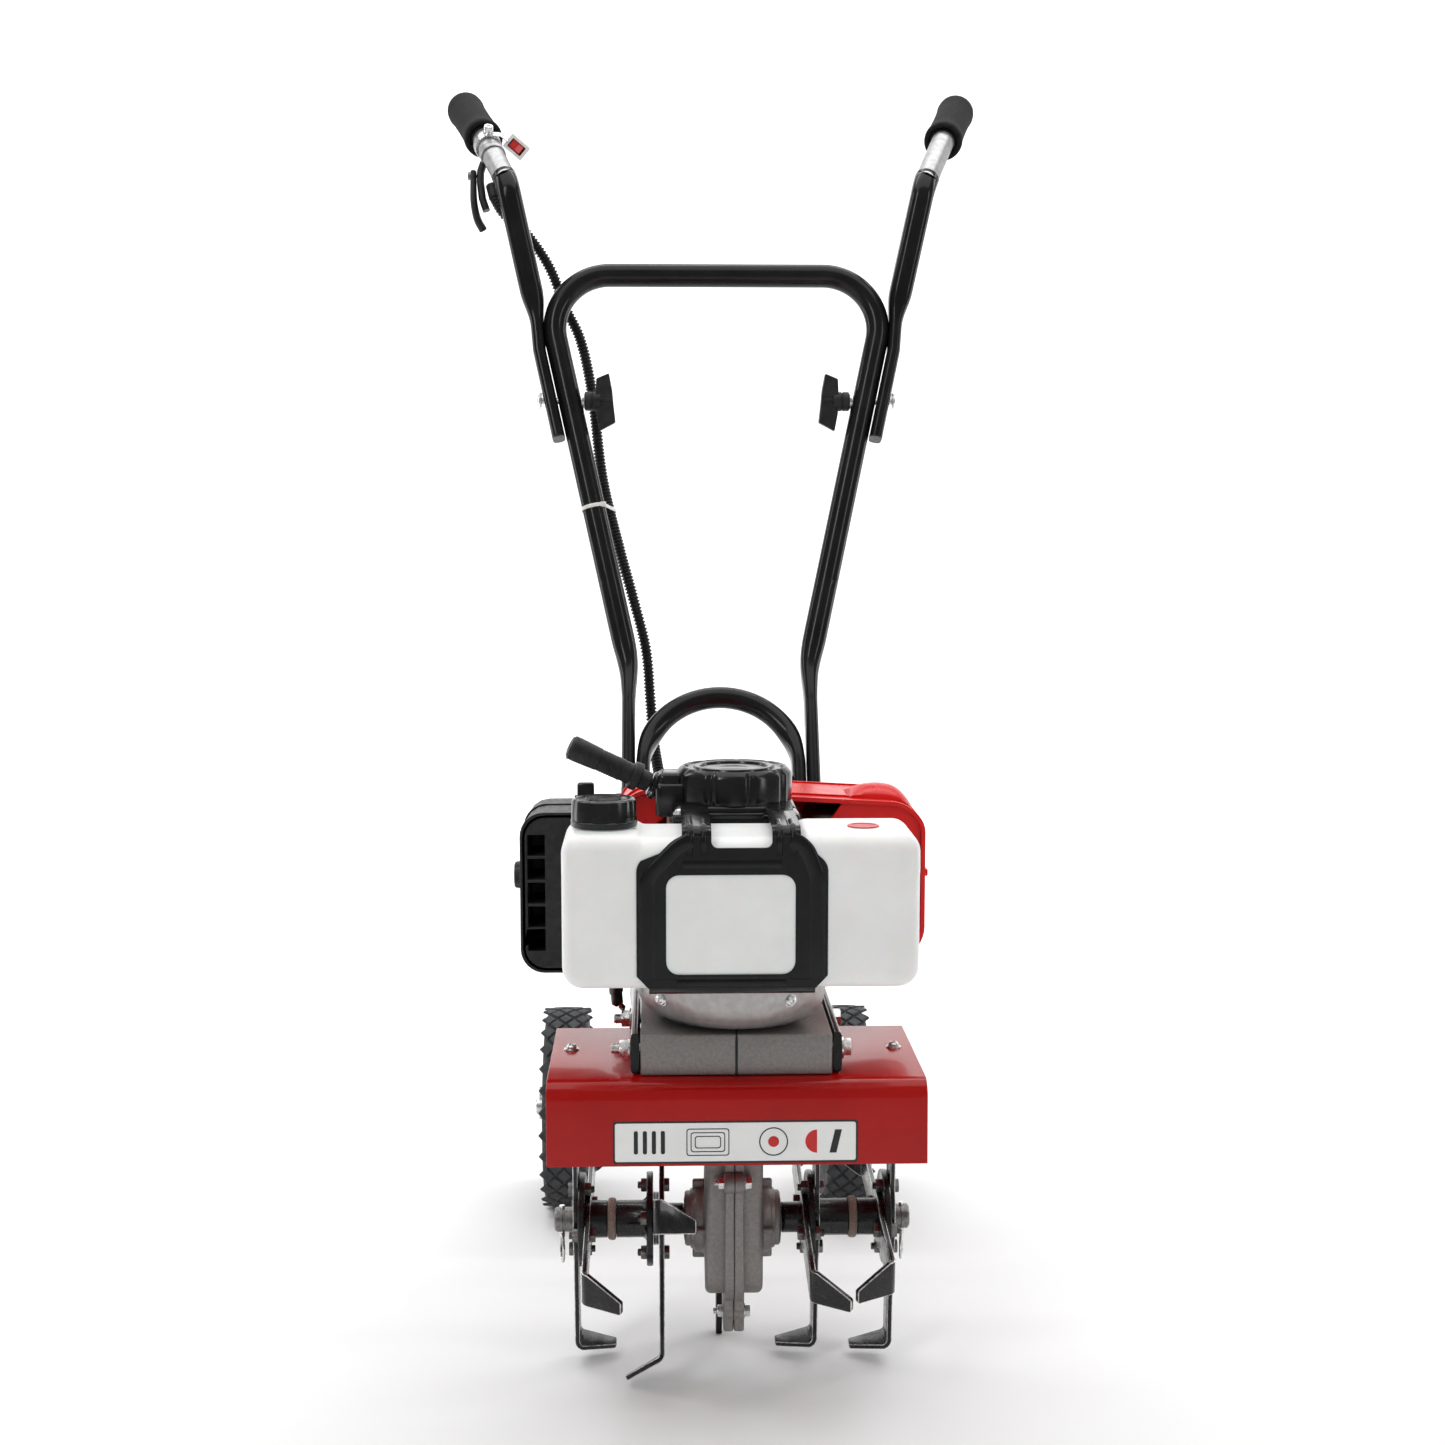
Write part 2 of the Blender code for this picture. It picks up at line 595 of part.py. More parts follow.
def make_engine():
    """From the fan housing up: flywheel and crankshaft, crankcase, cylinder and what hangs on it."""
    axis = Vector((0, WORM_Y, 0))
    sides = 32
    bm = bmesh.new()
    rings = []
    for z, share in ((FAN_LOW, 0.74), (0.296, 0.86), (0.306, 0.96), (0.316, 1.0), (FAN_HIGH, 1.0)):
        rings.append([bm.verts.new(axis + Vector((share * volute(math.tau * k / sides)
                                                  * math.cos(math.tau * k / sides),
                                                  share * volute(math.tau * k / sides)
                                                  * math.sin(math.tau * k / sides), z)))
                      for k in range(sides)])
    for low, high in zip(rings, rings[1:]):
        for k in range(sides):
            bm.faces.new((low[k], low[(k + 1) % sides], high[(k + 1) % sides], high[k]))
    bm.faces.new(rings[0])
    bm.faces.new(rings[-1])
    fan = finish_mesh("fan_housing", bm, "cast metal")
    cut(fan, rod("fan_room", axis + Vector((0, 0, 0.3045)), axis + Vector((0, 0, 0.35)), 0.059,
                 sides=32),
        rod("fan_bore", axis + Vector((0, 0, 0.28)), axis + Vector((0, 0, 0.32)), 0.0075, sides=16))

    crank = rod("crankshaft", axis + Vector((0, 0, 0.2690)), axis + Vector((0, 0, 0.4360)),
                0.0070, "dark steel", sides=16)
    flywheel = flat("flywheel", [gear_outline(12, 0.048, 0.056)], 0.018, TOP_VIEW, 0.0)
    flywheel.location = (0, WORM_Y, 0.3185)
    join(crank, flywheel, rod("clutch_shoes", axis + Vector((0, 0, 0.2700)),
                              axis + Vector((0, 0, 0.2840)), 0.0290, sides=20))
    pivot(crank, axis)

    case = box("crankcase", (-0.050, -0.088, 0.345), (0.050, 0.020, CASE_HIGH), "cast metal",
               bevel=0.006)
    join(case, rod("crankcase_base", axis + Vector((0, 0, FAN_HIGH + GAP)),
                   axis + Vector((0, 0, 0.347)), 0.064, sides=32))
    cut(case, rod("crankcase_bore", axis + Vector((0, 0, 0.32)), axis + Vector((0, 0, 0.45)),
                  0.0075, sides=16))

    comb = [(0.0203, 0.352)]
    for i in range(7):
        y = 0.0283 + 0.0106 * i
        comb += [(y - 0.003, 0.352), (y - 0.003, 0.360), (y + 0.003, 0.360), (y + 0.003, 0.352)]
    comb.append((0.1000, 0.352))
    upper = [(y, 2 * CYLINDER_Z - z) for y, z in reversed(comb)]
    flat("cylinder", [comb + upper], 0.072, SIDE_VIEW, 0.0, "cast metal")
    boot = rod("spark_plug_boot", (0, 0.1003, CYLINDER_Z), (0, 0.1180, CYLINDER_Z), 0.0085,
               "black plastic", sides=16)
    join(boot, rod("boot_elbow", (0, 0.1105, 0.384), (0, 0.1105, 0.410), 0.0060, sides=12))

    make_shroud()
    box("muffler", (0.060, 0.030, 0.335), (0.138, 0.108, 0.432), "dark steel", bevel=0.010)
    carburettor = box("carburettor", (-0.078, 0.036, 0.362), (-0.0365, 0.078, 0.408), "cast metal",
                      bevel=0.003)
    join(carburettor, rod("carburettor_intake", (-0.070, 0.057, 0.385), (-0.0897, 0.057, 0.385),
                          0.0130))
    make_air_filter()
    make_recoil()


def make_shroud():
    """Red cover over the cylinder and the muffler, open towards the crankcase and below."""
    (x0, y0, z0), (x1, y1, z1) = SHROUD_LOW, SHROUD_HIGH
    wall = 0.0022
    depth = y1 - y0
    shroud = flat("cylinder_shroud", [rounded_rectangle((x0, z0), (x1, z1), 0.024, 4)], depth,
                  FRONT_VIEW, -(y0 + y1) / 2, "red plastic")
    hollow = flat("shroud_hollow", [rounded_rectangle((x0 + wall, z0 + wall),
                                                      (x1 - wall, z1 - wall), 0.022, 4)], depth,
                  FRONT_VIEW, -(y0 + y1) / 2 + wall)
    cut(shroud, hollow,
        box("shroud_underside", (x0 + 0.020, y0 - 0.01, z0 - 0.01),
            (x1 - 0.020, y1 - wall, z0 + 0.01)),
        rod("shroud_intake_hole", (-0.095, 0.057, 0.385), (-0.080, 0.057, 0.385), 0.0150),
        rod("shroud_cable_hole", (-0.058, 0.110, 0.382), (-0.058, 0.130, 0.382), 0.0075, sides=14))
    for i in range(4):
        z = 0.345 + 0.022 * i
        cut(shroud, box("shroud_vent_" + str(i), (0.060, y1 - 0.005, z), (0.120, y1 + 0.005,
                                                                          z + 0.009)))


def make_air_filter():
    """Black housing on the left with pockets between ribs, and the choke lever on its top."""
    (x0, y0, z0), (x1, y1, z1) = FILTER_LOW, FILTER_HIGH
    housing = flat("air_filter_housing", [rounded_rectangle((x0, z0), (x1, z1), 0.018, 4)], y1 - y0,
                   FRONT_VIEW, -(y0 + y1) / 2, "black plastic")
    pockets = 5
    height = (z1 - z0 - 0.030) / pockets
    for i in range(pockets):
        z = z0 + 0.015 + height * i
        cut(housing, box("filter_pocket_" + str(i), (x0 + 0.005, y0 - 0.01, z + 0.0012),
                         (x0 + 0.018, y0 + 0.045, z + height - 0.0012)))
    lever = box("choke_lever", (-0.1196, 0.0315, 0.4400), (-0.1064, 0.0385, 0.4555),
                "black plastic", bevel=0.002)
    join(lever, rod("choke_hub", (-0.1216, 0.035, 0.4415), (-0.1044, 0.035, 0.4415), 0.0040,
                    sides=12))
    pivot(lever, (-0.113, 0.035, 0.4415))


def make_recoil():
    """Starter cover with a lobed rim, its rope guide, and the handle that pulls out of it."""
    lobes = 9
    outline = []
    for k in range(lobes * 5):
        angle = math.tau * k / (lobes * 5)
        dip = max(0.0, math.cos(lobes * angle)) ** 4
        radius = RECOIL_R - 0.0022 * dip
        outline.append((radius * math.cos(angle), WORM_Y + radius * math.sin(angle)))
    cover = flat("recoil_cover", [outline], 0.0260, TOP_VIEW, 0.4640, "black plastic")
    join(cover, box("recoil_flange", (-0.047, -0.075, 0.4383), (0.047, 0.0190, 0.4520),
                    bevel=0.005),
         box("recoil_guide", (-0.058, -0.046, 0.4400), (-0.036, -0.014, 0.4730), bevel=0.003),
         rod("recoil_guide_mouth", STARTER_ROOT - STARTER_PULL * 0.016,
             STARTER_ROOT - STARTER_PULL * GAP, 0.0085))
    cut(cover, rod("recoil_shaft_room", (0, WORM_Y, 0.42), (0, WORM_Y, 0.446), 0.0085, sides=16),
        rod("recoil_rope_bore", STARTER_ROOT + STARTER_PULL * 0.01,
            STARTER_ROOT - STARTER_PULL * 0.014, 0.0030, sides=12))
    grip = STARTER_ROOT + STARTER_PULL * 0.0006
    handle = turned("starter_handle", [(0.0, 0.066), (0.0075, 0.0655), (0.0092, 0.062),
                                       (0.0086, 0.040), (0.0078, 0.022), (0.0078, 0.0155),
                                       (0.0105, 0.0150), (0.0105, 0.0085), (0.0072, 0.0080),
                                       (0.0072, 0.0), (0.0, 0.0)],
                    grip, STARTER_PULL, "black plastic", 16)
    join(handle, rod("starter_rope", grip + STARTER_PULL * 0.002, grip - STARTER_PULL * 0.012,
                     0.0020, sides=10))


def make_tank():
    """Translucent tank in front of the crankcase, with a knurled cap on its filler neck."""
    tank = box("fuel_tank", TANK_LOW, TANK_HIGH, "white plastic", bevel=0.014, segments=4)
    cut(tank, box("tank_step", (-0.063, -0.20, 0.4445), (0.036, -0.08, 0.47)),
        rod("tank_dimple", (0.086, -0.140, 0.4465), (0.086, -0.140, 0.46), 0.011, sides=16))
    join(tank, rod("tank_neck", (CAP_X, CAP_Y, 0.44), (CAP_X, CAP_Y, 0.4600), 0.0170))
    cut(tank, rod("tank_filler", (CAP_X, CAP_Y, 0.425), (CAP_X, CAP_Y, 0.47), 0.0140))
    knurls = []
    for k in range(40):
        angle = math.tau * k / 40
        reach = CAP_R - (0.0016 if k % 4 == 0 else 0.0)
        knurls.append((reach * math.cos(angle), reach * math.sin(angle)))
    cap = flat("fuel_cap", [knurls], 0.0195, TOP_VIEW, 0.0, "black plastic")
    cap.location = (CAP_X, CAP_Y, 0.45845)
    cut(cap, rod("cap_hollow", (CAP_X, CAP_Y, 0.44), (CAP_X, CAP_Y, 0.4606), 0.0173))


def make_tank_guard():
    """Pressed black plate in front of the tank: two straps hook over its top, a lip goes under."""
    front = TANK_LOW[1] - GAP
    thick = 0.0022
    middle = front - thick / 2
    left, right = -0.0714, 0.0585
    strap_left, strap_right = (-0.0405, -0.0206), (0.0206, 0.0399)
    outline = ([(left + 0.008, 0.3435), (right - 0.008, 0.3435), (right, 0.352)]
               + arc((right - 0.012, 0.4235), 0.012, 0, 50, 3)
               + [(strap_right[1], 0.4480), (strap_right[0], 0.4480), (strap_right[0], 0.4465)]
               + [(strap_left[1], 0.4465), (strap_left[1], 0.4480), (strap_left[0], 0.4480)]
               + arc((left + 0.012, 0.4235), 0.012, 130, 180, 3) + [(left, 0.352)])
    window = rounded_rectangle((-0.0513, 0.3530), (0.0364, 0.4215), 0.009, 3)
    guard = flat("tank_guard", [outline, window], thick, FRONT_VIEW, -middle, "black paint")
    strap = ([(middle, 0.440), (middle, 0.4440)]
             + arc((middle + 0.009, 0.4440), 0.009, 180, 90, 4)[1:] + [(-0.0765, 0.4530)])
    for label, (x0, x1) in (("_strap_left", strap_left), ("_strap_right", strap_right)):
        join(guard, bent_sheet("tank_guard" + label, strap, x0 + GAP, x1 - GAP, thick))
    low = TANK_LOW[2] - GAP - thick / 2
    lip = ([(middle, 0.3500), (middle, low + 0.006)]
           + arc((middle + 0.006, low + 0.006), 0.006, 180, 270, 3)[1:] + [(-0.140, low)])
    join(guard, bent_sheet("tank_guard_lip", lip, left + 0.0083, right - 0.0083, thick))


# ---------------------------------------------------------------- frame and handle
def leg_y(z):
    """Where the sloping part of the lower frame is at height z."""
    return LEG_FOOT_Y + (z - BLOCK_BOLT_Z) * LEG_SLOPE


def blend(value, first, last):
    """0 before first, 1 after last, straight between."""
    return min(1.0, max(0.0, (value - first) / (last - first)))


def mix(a, b, share):
    return tuple(p + (q - p) * share for p, q in zip(a, b))


def make_arch():
    """Lower frame: one tube bent into an arch, its flattened feet bolted beside the block."""
    foot = (0.00325, 0.0150, 4.0)
    flattened = (FLAT_T + 0.0002, FLAT_W, 3.0)
    round_tube = (ARCH_R, ARCH_R, 2.0)
    spring_z = ARCH_TOP_Z - ARCH_X / math.hypot(1, LEG_SLOPE)
    foot_x = BLOCK[0][0] + 0.0010 + foot[0]

    def size_at(point):
        if point.y < 0.111:
            return mix(foot, round_tube, blend(point.y, 0.050, 0.110))
        up = blend(point.z, 0.335, 0.360)
        down = blend(point.z, 0.4405, 0.462)
        return mix(round_tube, flattened, up * (1 - down))

    slope = Vector((0, LEG_SLOPE, 1)).normalized()
    centre = Vector((0, leg_y(spring_z), spring_z))
    right = rounded([(foot_x, -0.084, BLOCK_BOLT_Z), (foot_x, 0.050, BLOCK_BOLT_Z),
                     (ARCH_X, 0.110, BLOCK_BOLT_Z), (ARCH_X, LEG_FOOT_Y, BLOCK_BOLT_Z),
                     (ARCH_X, leg_y(0.335), 0.335)], (0.05, 0.05, 0.055))
    right += [Vector((ARCH_X, leg_y(z), z)) for z in (0.345, 0.360, spring_z)]
    path = list(right)
    for i in range(1, 10):
        angle = math.pi * i / 10
        path.append(centre + Vector((ARCH_X * math.cos(angle), 0, 0))
                    + slope * ARCH_X * math.sin(angle))
    path += [mirror_x(p, -1) for p in reversed(right)]
    arch = sweep("frame_arch", path, size_at, "black paint")
    for i, y in enumerate(BLOCK_BOLT_Y):
        cut(arch, rod("arch_bolt_hole_" + str(i), (-0.1, y, BLOCK_BOLT_Z), (0.1, y, BLOCK_BOLT_Z),
                      0.0043, sides=12))


def hoop_leg(z):
    """Centre of the right upper leg of the hoop at height z."""
    share = (z - HOOP_BEND_Z) / (HOOP_TOP[2] - HOOP_BEND_Z)
    start_x, start_y = HOOP_X, leg_y(HOOP_BEND_Z)
    return Vector((start_x + (HOOP_TOP[0] - start_x) * share,
                   start_y + (HOOP_TOP[1] - start_y) * share, z))


def make_hoop():
    """Handle hoop: its pressed lower legs lie beside the arch's, then it leans up and out."""
    flattened = (FLAT_T, 0.0140, 3.0)
    round_tube = (TUBE_R, TUBE_R, 2.0)

    def size_at(point):
        return mix(flattened, round_tube, blend(point.z, 0.490, 0.545))

    leg = rounded([(HOOP_X, leg_y(0.365), 0.365), (HOOP_X, leg_y(0.490), 0.490),
                   (HOOP_X, leg_y(HOOP_BEND_Z), HOOP_BEND_Z), hoop_leg(0.60), HOOP_TOP,
                   mirror_x(HOOP_TOP, -1)], (0.5, 0.075, 0.5, HOOP_CORNER_R), 14)[:-1]
    path = leg + [mirror_x(p, -1) for p in reversed(leg)]
    hoop = sweep("handle_hoop", path, size_at, "black paint")
    bolt_y = hoop_leg(HANDLE_BOLT_Z).y
    for side in (-1, 1):
        cut(hoop, rod("hoop_bolt_hole_" + str(side), (side * 0.1, bolt_y, HANDLE_BOLT_Z),
                      (side * 0.2, bolt_y, HANDLE_BOLT_Z), 0.0036, sides=12))


def elbow():
    """The last bend of the right handlebar, just before its grip."""
    return Vector(COLLAR) - (Vector(GRIP_END) - Vector(COLLAR)).normalized() * 0.008


def make_upper_handles():
    """Handlebars nested on the outer side of the hoop's legs, their grips, bolts and knobs."""
    nested = (0.0062, 0.0125, 3.0)
    oval = (0.0110, 0.0140, 3.0)
    round_tube = (TUBE_R, TUBE_R, 2.0)
    offset = Vector((TUBE_R + nested[0] + 0.0010, 0, 0))
    bolt_y = hoop_leg(HANDLE_BOLT_Z).y
    bolt_x = hoop_leg(HANDLE_BOLT_Z).x

    def size_at(point):
        shape = mix(nested, oval, blend(point.z, BEND_1[2] - 0.010, BEND_1[2] + 0.012))
        return mix(shape, round_tube, blend(point.z, BEND_2[2] - 0.008, BEND_2[2] + 0.006))

    for name, side in (("left", -1), ("right", 1)):
        low = hoop_leg(BAR_END_Z) + offset
        near = hoop_leg(0.815) + offset
        inside = Vector(COLLAR) + (Vector(GRIP_END) - Vector(COLLAR)) * 0.90
        path = [low] + rounded([near, BEND_1, BEND_2, elbow(), inside], (0.08, 0.03, 0.04), 12)
        path.insert(-1, Vector(COLLAR) + (Vector(GRIP_END) - Vector(COLLAR)) * 0.30)
        bar = sweep("handlebar_" + name, [mirror_x(p, side) for p in path], size_at,
                    "black paint")
        cut(bar, rod("handlebar_hole_" + name, (side * 0.1, bolt_y, HANDLE_BOLT_Z),
                     (side * 0.2, bolt_y, HANDLE_BOLT_Z), 0.0036, sides=12))
        along = mirror_x(Vector(GRIP_END) - Vector(COLLAR), side)
        length = along.length
        bore = TUBE_R + 2 * GAP
        profile = [(0.0, length), (0.0165, length - 0.0005), (0.0188, length - 0.004),
                   (0.0188, length - 0.008), (GRIP_R, length - 0.010), (GRIP_R, 0.012),
                   (0.0190, 0.010), (0.0190, 0.002), (0.0175, 0.0), (bore, 0.0),
                   (bore, length * 0.93), (0.0, length * 0.93)]
        turned("grip_" + name, profile, mirror_x(COLLAR, side), along, "rubber", 16)

        head = bolt_x + TUBE_R + 2 * nested[0] + 0.0032
        stem = bolt_x - TUBE_R - 0.0030
        bolt = rod("handle_bolt_" + name, (side * (stem - 0.008), bolt_y, HANDLE_BOLT_Z),
                   (side * (head + 0.002), bolt_y, HANDLE_BOLT_Z), 0.0030, "bright steel", sides=10)
        join(bolt, rod("handle_bolt_head_" + name, (side * head, bolt_y, HANDLE_BOLT_Z),
                       (side * (head + 0.0045), bolt_y, HANDLE_BOLT_Z), 0.0078, sides=16,
                       end_radius=0.0050))
        knob = rod("knob_" + name, (side * stem, bolt_y, HANDLE_BOLT_Z),
                   (side * (stem - 0.0150), bolt_y, HANDLE_BOLT_Z), 0.0090, "black plastic",
                   sides=18)
        wing = [(-0.0050, 0.026), (0.0070, 0.021), (0.0070, -0.012), (0.0040, -0.028),
                (-0.0110, -0.020), (-0.0080, 0.010)]
        wing = [(side * (stem - 0.018 + a), HANDLE_BOLT_Z + b) for a, b in wing]
        join(knob, flat("knob_wing_" + name, [wing], 0.013, FRONT_VIEW, -bolt_y))
        cut(knob, rod("knob_bore_" + name, (side * (stem + 0.01), bolt_y, HANDLE_BOLT_Z),
                      (side * (stem - 0.0095), bolt_y, HANDLE_BOLT_Z), 0.0034, sides=12))
        pivot(knob, (side * stem, bolt_y, HANDLE_BOLT_Z))


# ---------------------------------------------------------------- controls
def on_left_bar(share):
    """A point on the left handlebar's bare tube, between its bend and the elbow by the grip."""
    return mirror_x(Vector(BEND_2).lerp(elbow(), share), -1)


def off_axis(direction, axis):
    """The unit vector of a direction's part that is square to an axis."""
    return (direction - axis * direction.dot(axis)).normalized()


def make_controls():
    """On the left handlebar: the throttle lever on its bracket, and the stop switch on a band."""
    along = (on_left_bar(1.0) - on_left_bar(0.0)).normalized()
    inner_r = TUBE_R + 2 * GAP

    clamp_at = on_left_bar(0.66)
    bracket = turned("throttle_bracket", [(0.0145, 0.0060), (0.0145, -0.0060), (inner_r, -0.0060),
                                          (inner_r, 0.0060), (0.0145, 0.0060)],
                     clamp_at, along, "black plastic", 20)
    arm_end = LEVER_PIVOT + Vector((0.0058, 0, 0))
    down = off_axis(LEVER_PIVOT - clamp_at, along)
    join(bracket, tube("throttle_arm", [clamp_at + down * 0.0146,
                                        arm_end + Vector((0.0010, 0.0, 0.004)),
                                        arm_end + Vector((0.0010, -0.004, -0.006))], 0.0032))
    spine = [LEVER_PIVOT + Vector(p) for p in ((0.0, 0.0, 0.004), (0.0, -0.003, -0.012),
                                               (0.001, -0.008, -0.028), (0.004, -0.008, -0.042),
                                               (0.009, -0.004, -0.052))]
    lever = sweep("throttle_lever", spine, lambda point: (0.0028, 0.0065, 3.0), "black plastic",
                  sides=12)
    pivot(lever, LEVER_PIVOT)

    switch_at = on_left_bar(0.88)
    band = turned("switch_clamp", [(0.0134, 0.0045), (0.0134, -0.0045), (inner_r, -0.0045),
                                   (inner_r, 0.0045), (0.0134, 0.0045)],
                  switch_at, along, "bright steel", 20)
    inwards = off_axis(Vector((1, 0, 0)), along)
    join(band, rod("switch_tab", switch_at + inwards * 0.0124, switch_at + inwards * 0.0165,
                   0.0030, sides=10))
    centre = switch_at + inwards * 0.0290 + Vector((0, -0.0020, -0.0060))
    body = box("switch_body", (-0.0056, -0.0070, -0.0088), (0.0056, 0.0090, 0.0088),
               "black plastic", bevel=0.0010)
    window = box("switch_window", (-0.0042, -0.0100, -0.0072), (0.0042, -0.0005, 0.0072))
    cut(body, window)
    rocker = flat("switch_rocker", [((-0.0050, 0.0062), (-0.0033, 0.0), (-0.0050, -0.0062),
                                     (0.0010, -0.0054), (0.0025, 0.0), (0.0010, 0.0054))],
                  0.0076, SIDE_VIEW, 0.0, "red plastic")
    for thing, place in ((body, centre), (window, centre),
                         (rocker, centre + Vector((0, -0.0045, 0)))):
        thing.location = place
        thing.rotation_euler = (0, SWITCH_TILT, 0)


def make_cables():
    """The corrugated conduit from the throttle down to the carburettor, and the stop lead."""
    cord("cable_conduit", CONDUIT, 0.0048, "black plastic", 44)
    cord("stop_lead", ((-0.0540, -0.0450, 0.3700), (-0.0720, -0.0480, 0.3540),
                       (-0.0870, -0.0500, 0.3280), (-0.0880, -0.0400, 0.3040),
                       (-0.0840, -0.0200, 0.2900), (-0.0880, 0.0100, 0.2920),
                       (-0.0920, 0.0500, 0.3020), (-0.0800, 0.0900, 0.3060),
                       (-0.0500, 0.1100, 0.3140), (-0.0450, 0.1050, 0.3300),
                       (-0.0420, 0.1000, 0.3500)), 0.0022, "black plastic", 26)


# ---------------------------------------------------------------- wheels and depth stake
def ribbon(points, half):
    """Outline of a bar of even width with round ends along a few points."""
    points = [Vector(p) for p in points]
    left, right = [], []
    for i, point in enumerate(points):
        before = points[max(i - 1, 0)]
        after = points[min(i + 1, len(points) - 1)]
        one = (after - point).normalized() if i < len(points) - 1 else (point - before).normalized()
        two = (point - before).normalized() if i > 0 else one
        along = (one + two).normalized()
        normal = Vector((-along.y, along.x)) * (half / max(0.3, along.dot(one)))
        left.append(tuple(point + normal))
        right.append(tuple(point - normal))
    first = math.degrees(math.atan2(*(points[1] - points[0]).yx))
    last = math.degrees(math.atan2(*(points[-1] - points[-2]).yx))
    tail = arc(points[0], half, first + 270, first + 90, 5)[1:-1]
    nose = arc(points[-1], half, last + 90, last - 90, 5)[1:-1]
    return left + nose + right[::-1] + tail


def make_wheels():
    """The bracket on the lower frame, the axle with its wheels, and the depth stake."""
    bracket_x = 0.0605
    outline = ribbon([(leg_y(0.415), 0.415), (leg_y(0.376), 0.376),
                      (WHEEL_AXLE_Y, WHEEL_AXLE_Z)], 0.0130)
    bracket = flat("wheel_bracket", [outline], 0.006, SIDE_VIEW, bracket_x, "black paint")
    join(bracket, flat("wheel_bracket_left", [outline], 0.006, SIDE_VIEW, -bracket_x),
         rod("wheel_bracket_cross", (-bracket_x, 0.3020, 0.2620), (bracket_x, 0.3020, 0.2620),
             0.0080, sides=16))
    cut(bracket, rod("bracket_axle_hole", (-0.1, WHEEL_AXLE_Y, WHEEL_AXLE_Z),
                     (0.1, WHEEL_AXLE_Y, WHEEL_AXLE_Z), 0.0083, sides=16))
    reach = WHEEL_X + WHEEL_W / 2 + 0.010
    rod("wheel_axle", (WHEELS_SHIFT - reach, WHEEL_AXLE_Y, WHEEL_AXLE_Z),
        (WHEELS_SHIFT + reach, WHEEL_AXLE_Y, WHEEL_AXLE_Z), 0.0080, "bright steel", sides=16)
    half = WHEEL_W / 2
    for name, side in (("left", -1), ("right", 1)):
        centre = (WHEELS_SHIFT + side * WHEEL_X, WHEEL_AXLE_Y, WHEEL_AXLE_Z)
        tyre = [(0.062, half - 0.004), (0.085, half), (0.0935, half - 0.005), (WHEEL_R, 0.0),
                (0.0935, 0.005 - half), (0.085, -half), (0.062, 0.004 - half),
                (0.062, half - 0.004)]
        turned("tyre_" + name, tyre, centre, (1, 0, 0), "rubber", 36)
        bore = 0.0083
        rim = [(bore, half), (0.0150, half), (0.0170, 0.005), (0.0520, 0.005), (0.0560, 0.0120),
               (0.0617, 0.0120), (0.0617, -0.0120), (0.0560, -0.0120), (0.0520, -0.005),
               (0.0170, -0.005), (0.0150, -half), (bore, -half), (bore, half)]
        turned("rim_" + name, rim, centre, (1, 0, 0), "black plastic", 20)

    flat("depth_stake", [[(STAKE_Y + a, z) for a, z in
                          ((-0.012, 0.240), (0.012, 0.240), (0.012, 0.016), (0.004, GROUND_Z),
                           (-0.004, GROUND_Z), (-0.012, 0.016))]],
         0.005, SIDE_VIEW, STAKE_X, "black paint")


# ---------------------------------------------------------------- whole machine
def stand_on_ground():
    """Move everything so that the origin is the middle of the footprint at ground level."""
    bpy.context.view_layer.update()
    graph = bpy.context.evaluated_depsgraph_get()
    corners = []
    for thing in bpy.data.collections["mini_cultivator"].objects:
        solid = thing.evaluated_get(graph)
        mesh = solid.to_mesh()
        corners += [solid.matrix_world @ vertex.co for vertex in mesh.vertices]
        solid.to_mesh_clear()
    low = Vector([min(c[i] for c in corners) for i in range(3)])
    high = Vector([max(c[i] for c in corners) for i in range(3)])
    base = bpy.data.objects.new("machine", None)
    bpy.data.collections["mini_cultivator"].objects.link(base)
    for thing in list(bpy.data.objects):
        if thing is not base:
            thing.parent = base
    base.location = (-(low.x + high.x) / 2, -(low.y + high.y) / 2, -low.z)


start()
make_tines()
make_worm_drive()
make_gearbox()
make_fender()
make_engine()
make_tank()
make_tank_guard()
make_arch()
make_hoop()
make_upper_handles()
make_controls()
make_cables()
make_wheels()
stand_on_ground()
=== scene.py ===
"""Looks of the mini cultivator: finer shells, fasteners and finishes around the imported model.

Lengths are metres. Shapes are written in the design's coordinates, where the tine shaft's middle is
at (0, 0, TINE_HEIGHT), and put() moves each mesh by HOME into the model's own frame.
"""

import json
import math
import random

import bmesh
import bpy
from mathutils import Matrix, Vector

